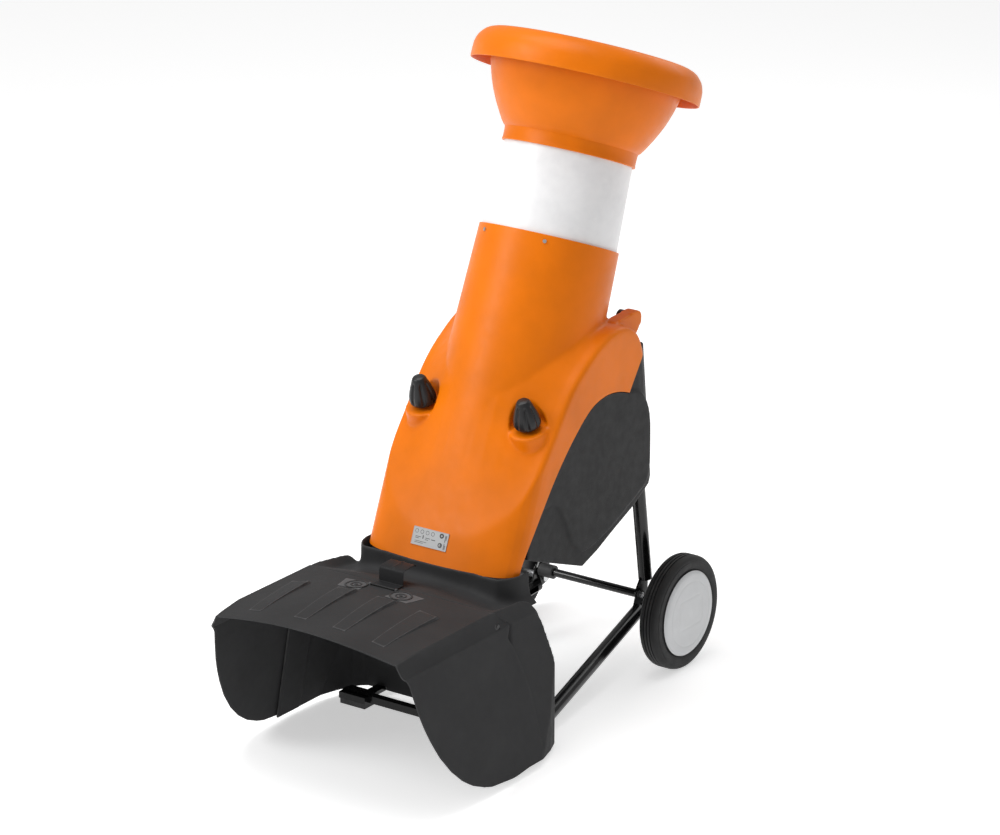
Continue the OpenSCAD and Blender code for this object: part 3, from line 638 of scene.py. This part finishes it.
half_section = [(302.2 - (z + 40) * 60.2 / 349, z) for z in list(np.linspace(13, 296, 40)) + [302, 307]]
half_section += [(242, 310.5), (241.4, 312.6), (239.6, 314.2), (238.4, 316.4)]
half_section += [(238.4 - 15.4 * k / 6, 316.4 + 22.2 * k / 6) for k in range(1, 6)]
half_section += [(222.6, 339.4), (220.4, 340.9)] + [(x, crown_at(x)) for x in np.linspace(216, 8, 27)]
flap_section = half_section + [(0, crown_at(0))] + [(-x, z) for x, z in reversed(half_section)]


def flap_span(x, z):
    """Foremost and rearmost point of the flap at one place round its section."""
    front = max(along(wing_front, z), lip_at(x)) if z < 318 else lip_at(x)
    if z < 318:
        rear = along(wing_rear, z)
    else:
        rear = -320 + (371 - z) * 37 / 31
    drop = z - pivot[1]
    if abs(x) > 222.8 and abs(drop) < ear_r:
        rear = max(rear, pivot[0] + math.sqrt(ear_r ** 2 - drop ** 2))
    return front, rear


rows = 44
points, faces = [], []
for x, z in flap_section:
    front, rear = flap_span(x, z)
    for k in range(rows + 1):
        y = front + (rear - front) * k / rows
        points.append([a * MM for a in (shouldered(x, y, z) if z > 316 else (x, y, z))])
for c in range(len(flap_section) - 1):
    for k in range(rows):
        a = c * (rows + 1) + k
        faces.append((a, a + 1, a + rows + 2, a + rows + 1))
flap = add_mesh("flap_shell", points, faces)
outward(flap)
if flap.data.polygons[len(flap.data.polygons) // 2].normal.z < 0:
    flap.data.flip_normals()
give_wall(flap, flap_wall)
for side in (-1, 1):
    work(flap, rod("pin_hole", (side * 218, *pivot), (side, 0, 0), 40, 5.05), "DIFFERENCE")
rim_round = flap.modifiers.new("rim_round", "BEVEL")
rim_round.width = 1.1 * MM
rim_round.segments = 2
rim_round.limit_method = "ANGLE"
rim_round.angle_limit = math.radians(50)
settle(flap)
shade(flap)
# The flap's light edge colour is a painted highlight on its rounded rims, where light catches them.
flap_grey = make_finish("flap_grey", (0.042, 0.0421, 0.0432), 0.55, 0.4, 1500, shine=0.04, dust=0.01, edge=(0.2, 0.2, 0.205))
# The flap's base colour is lifted the same way to make up for its turned-down gloss: real dark grey with a painted
# sheen.
finish_piece(flap, flap_grey, "flap", "black_plastic", "chute_flap")

rib_rows, rib_cols = 30, 14
rib_high = 5.5
ribs = [(-149, -138, 44), (-31, -24, 46), (68, 72, 46), (172, 168, 46)]
for number, (rear_x, front_x, width) in enumerate(ribs):
    points, faces = [], []
    for k in range(rib_rows + 1):
        v = k / rib_rows
        y = -563 + v * 178
        right = front_x + (rear_x - front_x) * v
        span = width * (0.62 + 0.38 * v)
        for c in range(rib_cols + 1):
            u = c / rib_cols
            x = right - span * (1 - u)
            fall = math.sqrt(max(0.0, 1 - max(0.0, (v - 0.95) / 0.05) ** 2))
            high = rib_high * v ** 1.1 * (0.1 + 0.9 * u ** 1.4) * fall
            points.append((x * MM, y * MM, (flap_top(x, y) + high) * MM))
        points.append(((right + 1.2 * v) * MM, y * MM, (flap_top(right, y) - 0.6) * MM))
    wide = rib_cols + 2
    for k in range(rib_rows):
        for c in range(wide - 1):
            a = k * wide + c
            faces.append((a, a + 1, a + wide + 1, a + wide))
    rib = add_mesh("flap_rib_%d" % (number + 1), points, faces)
    give_wall(rib, -0.8)
    shade(rib, 40)
    finish_piece(rib, flap_grey, "flap", "black_plastic")


def disc_ring(name, centre, inner, outer, height, lift):
    """A low moulded ring that follows the crowned plate."""
    points, faces = [], []
    steps = 72
    profile = [(inner, -0.5), (inner, height), (outer, height), (outer, -0.5)]
    for i in range(steps):
        a = 2 * math.pi * i / steps
        for r, h in profile:
            x, y = centre[0] + r * math.cos(a), centre[1] + r * math.sin(a)
            points.append((x * MM, y * MM, (flap_top(x, y) + lift + h) * MM))
    for i in range(steps):
        j = (i + 1) % steps
        faces += [(i * 4 + k, i * 4 + (k + 1) % 4, j * 4 + (k + 1) % 4, j * 4 + k) for k in range(4)]
    ring = add_mesh(name, points, faces)
    outward(ring)
    return ring


pad_grey = make_finish("pad_grey", (0.1, 0.101, 0.104), 0.5, 0.3, 1500, shine=0.06, dust=0.01)
ring_grey = make_finish("ring_grey", (0.02, 0.02, 0.021), 0.5, 0.3, 1500, shine=0.06, dust=0.0)
pad_cols, pad_rows = 16, 8
for side in (-1, 1):
    name = "left" if side < 0 else "right"
    centre = (side * 56, -354)
    points, faces = [], []
    for k in range(pad_rows + 1):
        y = -377 + 45.0 * k / pad_rows
        inner, outer = (24 - 6 * k / pad_rows) * -1, 30 + 12.0 * k / pad_rows
        for c in range(pad_cols + 1):
            x = side * (56 + inner + (outer - inner) * c / pad_cols)
            points.append((x * MM, y * MM, (flap_top(x, y) + 0.7) * MM))
    wide = pad_cols + 1
    for k in range(pad_rows):
        faces += [(k * wide + c, k * wide + c + 1, (k + 1) * wide + c + 1, (k + 1) * wide + c) for c in range(pad_cols)]
    pad = add_mesh("flap_pad_" + name, points, faces)
    if pad.data.polygons[0].normal.z < 0:
        pad.data.flip_normals()
    give_wall(pad, 1.0)
    shade(pad)
    finish_piece(pad, pad_grey, "flap", "black_plastic")
    ring = disc_ring("flap_ring_" + name, centre, 20.5, 24, 1.3, 0.7)
    gather(ring, disc_ring("inner", centre, 9, 12, 1.1, 0.7), disc_ring("middle", centre, 0.5, 4, 1.1, 0.7))
    shade(ring)
    finish_piece(ring, ring_grey, "flap", "black_plastic")

# ---- Latch clip: a strip of black spring steel, bent over twice, that stands
# on the flap just in front of the collar. Its top flange has a pressed ridge.
clip_line = [(-337.4, 370.6), (-312.4, 370.6), (-311.2, 371.8), (-309.6, 396), (-308, 399.4), (-303, 401.4),
             (-272, 403), (-268.6, 401.6), (-267, 399)]
clip_half, clip_wall, clip_cols = 30.0, 1.4, 24
points, faces = [], []
for c in range(clip_cols + 1):
    x = -clip_half + 2 * clip_half * c / clip_cols
    ridge = 1.4 * math.exp(-(x / 3.0) ** 2)
    for k, (y, z) in enumerate(clip_line):
        lift = ridge if 4 < k < 8 else 0.0
        points.append((x * MM, y * MM, (z + lift) * MM))
wide = len(clip_line)
for c in range(clip_cols):
    faces += [(c * wide + k, c * wide + k + 1, (c + 1) * wide + k + 1, (c + 1) * wide + k) for k in range(wide - 1)]
clip = add_mesh("latch_clip", points, faces)
give_wall(clip, clip_wall)
clip_bend = clip.modifiers.new("bend", "BEVEL")
clip_bend.width = 0.8 * MM
clip_bend.segments = 3
clip_bend.limit_method = "ANGLE"
clip_bend.angle_limit = math.radians(25)
settle(clip)
barrel = rod("barrel", (-30, -338, 371.8), (1, 0, 0), 60, 2.1, 24)
work(barrel, rod("bore", (-31, -338, 371.8), (1, 0, 0), 62, 1.05, 24), "DIFFERENCE")
gather(clip, barrel)
shade(clip, 40)
spring_black = make_finish("spring_black", (0.02, 0.02, 0.021), 0.4, 0.1, 900, shine=0.12, dust=0.0,
                           edge=(0.05, 0.05, 0.05))
finish_piece(clip, spring_black, "clip", "black_paint", "flap_clip")
clip_pin = rod("flap_clip_pin", (-34.4, -338, 371.8), (1, 0, 0), 68.8, 0.98, 20)
for side in (-1, 1):
    ear = prism("ear", [(-341, 366), (-335, 366), (-335, 372.5), (-336.2, 374), (-339.8, 374), (-341, 372.5)],
                *sorted((side * 30.6, side * 34.4)), across)
    gather(clip_pin, ear)
shade(clip_pin, 30)
finish_piece(clip_pin, flap_grey, "flap", "black_plastic")

# ---- Hood: the orange moulding that carries the feed tube. A leaning column
# grows out of two shoulders, and each shoulder has a round pocket for a knob.
lean = math.radians(22.6)
tower_y, tower_z = 313.0, 1124.0
hood_half = 188.0
hood_foot = 370.0
hood_front = [(-183, 362), (-178, 370), (-163, 408), (-139, 446), (-109, 492), (-83, 530), (-56, 567), (-34, 596),
              (-10, 627), (20, 668), (51, 705), (84, 735), (121, 760), (150, 777), (178, 789), (205, 797), (232, 800),
              (258, 797), (280, 788), (296, 777), (308, 763), (316, 748), (323, 729)]
hood_front = eased(hood_front, 3)
hood_under = eased([(-127, 370), (-111, 400), (-54, 476), (0, 544), (61, 606), (124, 654), (179, 669), (227, 665),
                    (268, 652)])
hood_under.append((323, 729))
hinge_y, hinge_z = from_deck(309, 159)


def on_tower(x, y, t):
    """A point in the leaning tower's own frame: t runs up its axis."""
    return (x * MM, (tower_y + y * math.cos(lean) + t * math.sin(lean)) * MM,
            (tower_z - y * math.sin(lean) + t * math.cos(lean)) * MM)


def tower_r(t):
    return 148 + (-178 - t) * 0.0285


def turned(name, profile, place, steps=160, closed=True):
    """A ring-shaped piece from its half profile of (radius, height)."""
    points, faces = [], []
    n = len(profile)
    for i in range(steps):
        a = 2 * math.pi * i / steps
        points += [place(r * math.cos(a), r * math.sin(a), h) for r, h in profile]
    for i in range(steps):
        j = (i + 1) % steps
        for k in range(n if closed else n - 1):
            m = (k + 1) % n
            faces.append((i * n + k, j * n + k, j * n + m, i * n + m))
    piece = add_mesh(name, points, faces)
    outward(piece)
    return piece


def cone(name, low, high, less=0.0, steps=160):
    """The tower's tapered column as a closed solid."""
    points = []
    for t in (low, high):
        r = tower_r(t) - less
        points += [on_tower(r * math.cos(2 * math.pi * i / steps), r * math.sin(2 * math.pi * i / steps), t)
                   for i in range(steps)]
    faces = [tuple(range(steps)), tuple(range(steps, 2 * steps))]
    faces += [(i, (i + 1) % steps, steps + (i + 1) % steps, steps + i) for i in range(steps)]
    piece = add_mesh(name, points, faces)
    outward(piece)
    return piece


# shoulders: the side view drawn across, with its front edge rolled towards the sides
stations = [(188.0, 11.0), (187.0, 6.0), (184.0, 2.0), (179.0, 0.0), (166.0, 0.0), (152.0, 0.0), (136.0, 0.0),
            (115.0, 0.0), (90.0, 0.0), (60.0, 0.0), (30.0, 0.0)]
stations = [(-x, roll) for x, roll in stations] + [(0.0, 0.0)] + stations[::-1]
crown_y = [-180, -155, -124, -90, -54, -16, 16, 33, 51, 74, 111, 159, 213, 240]
crown_high = [9, 9, 14, 23, 36, 51, 62, 67, 71, 81, 99, 94, 15, 0]
front_count = len(hood_front)
normals = []
for i in range(front_count):
    a, b = hood_front[max(0, i - 1)], hood_front[min(front_count - 1, i + 1)]
    length = math.hypot(b[0] - a[0], b[1] - a[1])
    normals.append(((b[1] - a[1]) / length, -(b[0] - a[0]) / length))
under = [(330, 600), (268, 560), (60, 500), (-40, 420), (-110, 340), (-183, 340)]
points, faces = [], []
for x, roll in stations:
    across_share = max(0.0, 1 - (x / 182) ** 2) ** 1.5
    ring = []
    for (y, z), n in zip(hood_front, normals):
        shift = roll - across_share * float(np.interp(y, crown_y, crown_high))
        ring.append((y + shift * n[0], z + shift * n[1]))
    ring += under
    points += [(x * MM, y * MM, z * MM) for y, z in ring]
n = front_count + len(under)
faces = [tuple(range(n)), tuple(range((len(stations) - 1) * n, len(stations) * n))]
for s in range(len(stations) - 1):
    faces += [(s * n + i, s * n + (i + 1) % n, (s + 1) * n + (i + 1) % n, (s + 1) * n + i) for i in range(n)]
hood = add_mesh("hood_shell", points, faces)
outward(hood)
front_plan = [(187.9, -104), (187, -117), (182, -130), (171, -142), (158, -149), (144, -153.5), (120, -159.5),
              (100, -163.5), (80, -166.5), (50, -169), (20, -170)]
plan = [(190, 700), (190, -90)] + front_plan
plan += [(-x, y) for x, y in reversed(plan)]
work(hood, prism("plan", plan, -960, 60, on_tower), "INTERSECT")
column = cone("column", -960, -150)
column_side = [(-300, 300), (-300, 1150), (520, 1150), (520, 860), (345, 780), (323, 729), (330, 600), (60, 500)]
work(column, prism("column_side", column_side, -200, 200, across), "INTERSECT")
gather(hood, column)
up = (0, -math.sin(tilt), math.cos(tilt))


def knob_axis(x, w):
    y, z = from_deck(-75, w)
    return (x, y, z)


for side in (-1, 1):
    gather(hood, rod("turret", knob_axis(side * 131, 38), up, 86, 40.5, 96))
    lug = rod("lug", (side * 127, hinge_y, hinge_z), (side, 0, 0), 29, 20)
    web = prism("web", [(250, 770), (318, 733), (hinge_y + 13, hinge_z - 15), (hinge_y - 6, hinge_z + 19), (262, 800)],
                *sorted((side * 127.0, side * 156.0)), across)
    gather(hood, lug, web)
grid = 2.6
cast = hood.modifiers.new("cast", "REMESH")
cast.mode = "VOXEL"
cast.voxel_size = grid * MM
settle(hood)
for side in (-1, 1):
    work(hood, rod("pocket", knob_axis(side * 131, 124), up, 130, 38.5, 96), "DIFFERENCE")
soften(hood, grid, 8)
blend = hood.vertex_groups.new(name="front")
for v in hood.data.vertices:
    x, y, z = v.co / MM
    inside = min(1.0, max(0.0, (172 - abs(x)) / 30)) * min(1.0, max(0.0, (z - 376) / 25))
    inside *= min(1.0, max(0.0, (580 - z) / 30)) if y < 0 else 0.0
    if inside > 0:
        blend.add([v.index], inside, "REPLACE")
melt = hood.modifiers.new("melt", "SMOOTH")
melt.vertex_group = "front"
melt.factor = 0.5
melt.iterations = 90
settle(hood)
above_top = prism("above_top", [(-300, -300), (300, -300), (300, 300), (-300, 300)], -178, 100, on_tower)
work(hood, above_top, "DIFFERENCE")
below = hood_under + [(500, 780), (500, 200), (-300, 200), (-300, 370)]
work(hood, prism("below", below, -260, 260, across), "DIFFERENCE")


def on_hood_cut(x, y, z):
    t = (y - tower_y) * math.sin(lean) + (z - tower_z) * math.cos(lean)
    return t > -178.1 or z < 370.1 or near_path(y, z, hood_under + [(500, 780)], 0.1)


open_where(hood, on_hood_cut)
give_wall(hood, wall)
for side in (-1, 1):
    low, high = sorted((side * 109.5, side * 126.5))
    work(hood, block("bracket_way", (low, 300, 700), (high, 390, 806)), "DIFFERENCE")
    work(hood, rod("pin_way", (side * 105, hinge_y, hinge_z), (side, 0, 0), 47.5, 5.05), "DIFFERENCE")
    work(hood, rod("stud_way", knob_axis(side * 131, 110), up, 20, 4.05), "DIFFERENCE")
shade(hood, 40)
orange = make_finish("hood_orange", (0.79, 0.175, 0.0), 0.38, 0.22, 1700, edge=(0.93, 0.3, 0.02), dust=0.004, shine=0.2)
finish_piece(hood, orange, "feed_tower", "orange_plastic", "hood")

# ---- Feed tube: a white extruded tube, held between hood and hopper by four
# screws; the dark feed funnel hangs inside the hood.
white_plastic = make_finish("white_tube", (0.8, 0.8, 0.81), 0.34, 0.12, 1700, edge=(0.9, 0.9, 0.9), dust=0.02)
tube = turned("feed_pipe", [(144.2, -205), (134.9, 22), (131.9, 22), (141.2, -205)], on_tower, 192)
shade(tube)
finish_piece(tube, white_plastic, "feed_tower", "white_plastic", "feed_tube")
clothe(dark_moulding, "feed_funnel")
clothe(zinc, "tube_screws")

# ---- Hopper: a wide orange bowl on a short collar, with a rolled rim whose
# hollow underside is stiffened by ribs and gives a grip all round.
outer_skin = [(139, 0), (140.4, -0.4), (141.6, 1.2), (141.5, 3), (140.6, 6), (140.8, 24), (141.5, 29), (146, 33),
              (151, 40), (156.5, 49), (161, 57), (168.5, 70), (176, 85), (182.5, 99), (188.5, 115), (193.2, 129),
              (197, 143), (201, 158), (202, 180), (203.5, 200), (206, 209), (212, 214), (220, 212.5), (229, 206),
              (236, 193), (239, 178), (239.6, 155.5), (240.6, 153), (242.4, 153), (243, 155.5), (243, 172), (242.4, 184),
              (240, 194), (236.4, 202), (231, 209), (225, 215), (218, 219.5), (210, 222.4), (204, 221.7), (200, 218),
              (198, 211), (197, 200), (196.4, 170), (193.4, 143), (184.9, 115), (172.4, 85), (157.4, 57), (148, 40),
              (140, 31), (136.2, 27), (135.8, 24), (135.8, 3), (136.4, 0.2)]
bowl = turned("hopper_bowl", outer_skin, on_tower, 192)
shade(bowl, 38)
finish_piece(bowl, orange, "feed_tower", "orange_plastic", "hopper")
rib_count = 24
points, faces = [], []
rib_shape = [(201.5, 178), (202.6, 204), (212, 213), (226, 207), (235, 192), (238.4, 176)]
for i in range(rib_count):
    a = 2 * math.pi * (i + 0.5) / rib_count
    start = len(points)
    for shift in (-1.1, 1.1):
        for r, t in rib_shape:
            points.append(on_tower(r * math.cos(a) - shift * math.sin(a), r * math.sin(a) + shift * math.cos(a), t))
    m = len(rib_shape)
    faces += [tuple(range(start, start + m)), tuple(range(start + m, start + 2 * m))]
    faces += [(start + k, start + (k + 1) % m, start + m + (k + 1) % m, start + m + k) for k in range(m)]
rim_ribs = add_mesh("hopper_rim_ribs", points, faces, smooth=False)
outward(rim_ribs)
finish_piece(rim_ribs, orange, "feed_tower", "orange_plastic")

# ---- Rating plate: a small brushed aluminium plate pressed onto the hood, with
# a raised border and plain dark rings and bars instead of any wording.
plate_low, plate_high = (-54.0, -853.0), (34.0, -816.0)
plate_face = -171.3


def on_plate(x, t, lift):
    """A point on the plate, which follows the hood's bowed front."""
    return on_tower(x, plate_face + x * x / 2400 - lift, t)


def plate_strip(name, low, high, bottom, top, parts=16):
    """A flat bar on the plate, between two corners and two heights."""
    points, faces = [], []
    for k in range(parts + 1):
        x = low[0] + (high[0] - low[0]) * k / parts
        points += [on_plate(x, low[1], bottom), on_plate(x, high[1], bottom), on_plate(x, high[1], top),
                   on_plate(x, low[1], top)]
    for k in range(parts):
        faces += [(4 * k + i, 4 * k + (i + 1) % 4, 4 * k + 4 + (i + 1) % 4, 4 * k + 4 + i) for i in range(4)]
    faces += [(0, 1, 2, 3), tuple(range(4 * parts, 4 * parts + 4))]
    strip = add_mesh(name, points, faces, smooth=False)
    outward(strip)
    return strip


def plate_ring(x0, t0, inner, outer, steps=28):
    """A plain printed ring on the plate."""
    points, faces = [], []
    for i in range(steps):
        a = 2 * math.pi * i / steps
        for r, h in ((inner, -0.1), (inner, 0.2), (outer, 0.2), (outer, -0.1)):
            points.append(on_plate(x0 + r * math.cos(a), t0 + r * math.sin(a), h))
    for i in range(steps):
        j = (i + 1) % steps
        faces += [(4 * i + k, 4 * i + (k + 1) % 4, 4 * j + (k + 1) % 4, 4 * j + k) for k in range(4)]
    ring = add_mesh("ring", points, faces, smooth=False)
    outward(ring)
    return ring


plate_metal = make_finish("rating_plate_metal", (0.42, 0.425, 0.43), 0.4, 0.3, 1200, metal=0.3, dust=0.0)
plate = plate_strip("label_plate", plate_low, plate_high, -2.2, 0.0)
px0, pt0, px1, pt1 = *plate_low, *plate_high
for low, high in (((px0, pt0), (px1, pt0 + 1)), ((px0, pt1 - 1), (px1, pt1)), ((px0, pt0 + 1), (px0 + 1, pt1 - 1)),
                  ((px1 - 1, pt0 + 1), (px1, pt1 - 1))):
    gather(plate, plate_strip("border", low, high, -0.1, 0.35))
finish_piece(plate, plate_metal, "feed_tower", "silver_label", "rating_plate")
print_grey = make_finish("print_grey", (0.03, 0.03, 0.032), 0.5, 0.1, 1200)
marks = plate_ring(17.5, -823.5, 2.0, 5.2)
for i in range(4):
    gather(marks, plate_ring(-45 + 13.5 * i, -824.5, 3.4, 4.3))
gather(marks, plate_ring(17.5, -843, 3.2, 5.2), plate_strip("bar", (17.5, -846.6), (20, -839.4), -0.1, 0.2, 2))
for x, t, wide, high in ((-46, -836, 14, 1.2), (-46, -839, 9, 1.2), (-28, -838, 2.4, 7), (-21, -836, 12, 1.2),
                         (-21, -839.5, 8, 1.2), (-6, -837, 10, 1.6), (-46, -845, 30, 1.0), (-46, -848, 22, 1.0),
                         (26.5, -850, 1.4, 12), (29, -850, 1.2, 9), (26.5, -835, 1.4, 14), (29, -831, 1.2, 10)):
    gather(marks, plate_strip("bar", (x, t), (x + wide, t + high), -0.1, 0.2, 4))
marks.name = "label_marks"
finish_piece(marks, print_grey, "feed_tower", "black_paint")

# ---- Knobs: black fluted hand knobs on steel studs, one in each pocket. Seven
# grooves run up their tapered sides to a rounded top.
knob_black = make_finish("knob_black", (0.014, 0.014, 0.015), 0.33, 0.3, 1500)
knob_steps, knob_rows = 168, 34
knob_side = [(4.6, 17), (5.2, 20.5), (7, 24), (10, 26.8), (14, 28.2), (20, 28.6), (28, 27.6), (38, 25), (48, 21.6),
             (58, 17.6), (63, 15.4), (66, 13.9), (68, 12.2), (69, 10.4)]
for side in (-1, 1):
    name = "left" if side < 0 else "right"
    points, faces = [], []
    for k in range(knob_rows + 1):
        h = 4.6 + 64.4 * k / knob_rows
        skirt = float(np.interp(h, [z for z, r in knob_side], [r for z, r in knob_side]))
        start = min(1.0, max(0.0, (h - 9) / 8))
        stop = min(1.0, max(0.0, (60 - h) / 9))
        for i in range(knob_steps):
            a = 2 * math.pi * i / knob_steps
            near = math.cos(7 * a) * 0.5 + 0.5
            r = skirt - 3.8 * start * (2 - start) * stop * (2 - stop) * near ** 3.5
            x, v = side * 131 + r * math.cos(a), -75 + r * math.sin(a)
            points.append(on_deck(x, v, 124 + h))
    for k in range(knob_rows):
        for i in range(knob_steps):
            j = (i + 1) % knob_steps
            a, b = k * knob_steps, (k + 1) * knob_steps
            faces.append((a + i, a + j, b + j, b + i))
    faces += [tuple(range(knob_steps))[::-1], tuple(range(knob_rows * knob_steps, (knob_rows + 1) * knob_steps))]
    knob = add_mesh("knob_grip_" + name, points, faces)
    outward(knob)
    shade(knob, 50)
    body = "knob_l" if side < 0 else "knob_r"
    finish_piece(knob, knob_black, body, "knob_plastic", "knob_" + name)
clothe(zinc, "stud_left", "stud_right")

# ---- Wheels: solid black tyres with three grooves on dark rims, closed outside
# by a domed light grey cap that is clipped in.
rubber = make_finish("tyre_rubber", (0.012, 0.012, 0.0125), 0.6, 0.6, 1100, dust=0.04)
rim_black = make_finish("rim_black", (0.02, 0.02, 0.021), 0.42, 0.3, 1500)
cap_grey = make_finish("cap_grey", (0.62, 0.63, 0.64), 0.38, 0.2, 1600, dust=0.02)
axle_y, axle_z = 414.0, 125.0
clothe(rim_black, "rim_left", "rim_right")
tyre_profile = [(94, 204), (96, 201.5), (101, 200), (108, 199), (113, 199.4), (114, 200.6), (116, 200.8), (119, 201.4),
                (122.4, 204), (124.2, 207.5), (125, 212)]
for start in (213.5, 221.0, 228.5):
    tyre_profile += [(125, start), (122.6, start + 0.5), (122.4, start + 2.4), (125, start + 2.9)]
tyre_profile += [(125, 234), (124.2, 238.5), (122.4, 242), (119, 244.6), (116, 245.2), (114, 245.4), (113, 246.6),
                 (108, 247), (101, 246), (96, 244.5), (94, 242)]
cap_rings = 46
for side in (-1, 1):
    name = "left" if side < 0 else "right"

    def on_axle(a, b, h, side=side):
        return (side * h * MM, (axle_y + a) * MM, (axle_z + b) * MM)

    tyre = turned("tyre_ring_" + name, tyre_profile, on_axle, 192)
    shade(tyre, 35)
    body = "wheel_l" if side < 0 else "wheel_r"
    finish_piece(tyre, rubber, body, "tyre", "tyre_" + name)
    points, faces = [], []
    steps = 144
    for k in range(cap_rings + 1):
        r = 93.4 * (k / cap_rings) ** 0.8
        for i in range(steps):
            a = 2 * math.pi * i / steps
            dome = 254.6 - 2.6 * (r / 84) ** 2 - 4.6 * max(0.0, (r - 84) / 9.4) ** 2
            dome -= 0.9 * math.exp(-((r - 72) / 1.6) ** 2)
            y, z = r * math.cos(a), r * math.sin(a)
            edge = max(abs(y) - 34, 0) ** 2 + max(abs(z - 4) - 22, 0) ** 2
            badge = math.sqrt(edge)
            dome -= 0.8 * math.exp(-((badge - 10) / 1.5) ** 2)
            points.append(on_axle(y, z, dome))
    for k in range(cap_rings):
        for i in range(steps):
            j = (i + 1) % steps
            faces.append((k * steps + i, k * steps + j, (k + 1) * steps + j, (k + 1) * steps + i))
    cap = add_mesh("cap_dome_" + name, points, faces)
    outward(cap)
    if (cap.data.polygons[steps * 20].normal.x > 0) != (side > 0):
        cap.data.flip_normals()
    give_wall(cap, 1.8)
    shade(cap, 40)
    finish_piece(cap, cap_grey, body, "grey_plastic", "cap_" + name)

# ---- Buttons on the back: green start, red stop and the small black overload
# reset, each a moulded plunger in its own guide.
start_green = make_finish("start_green", (0.02, 0.3, 0.06), 0.35, 0.2, 1500)
stop_red = make_finish("stop_red", (0.5, 0.012, 0.01), 0.35, 0.2, 1500)
clothe(start_green, "start_button")
clothe(stop_red, "stop_button")
clothe(switch_black, "reset_button")

for node in nodes.values():
    if not node.hide_render:
        shade(node)
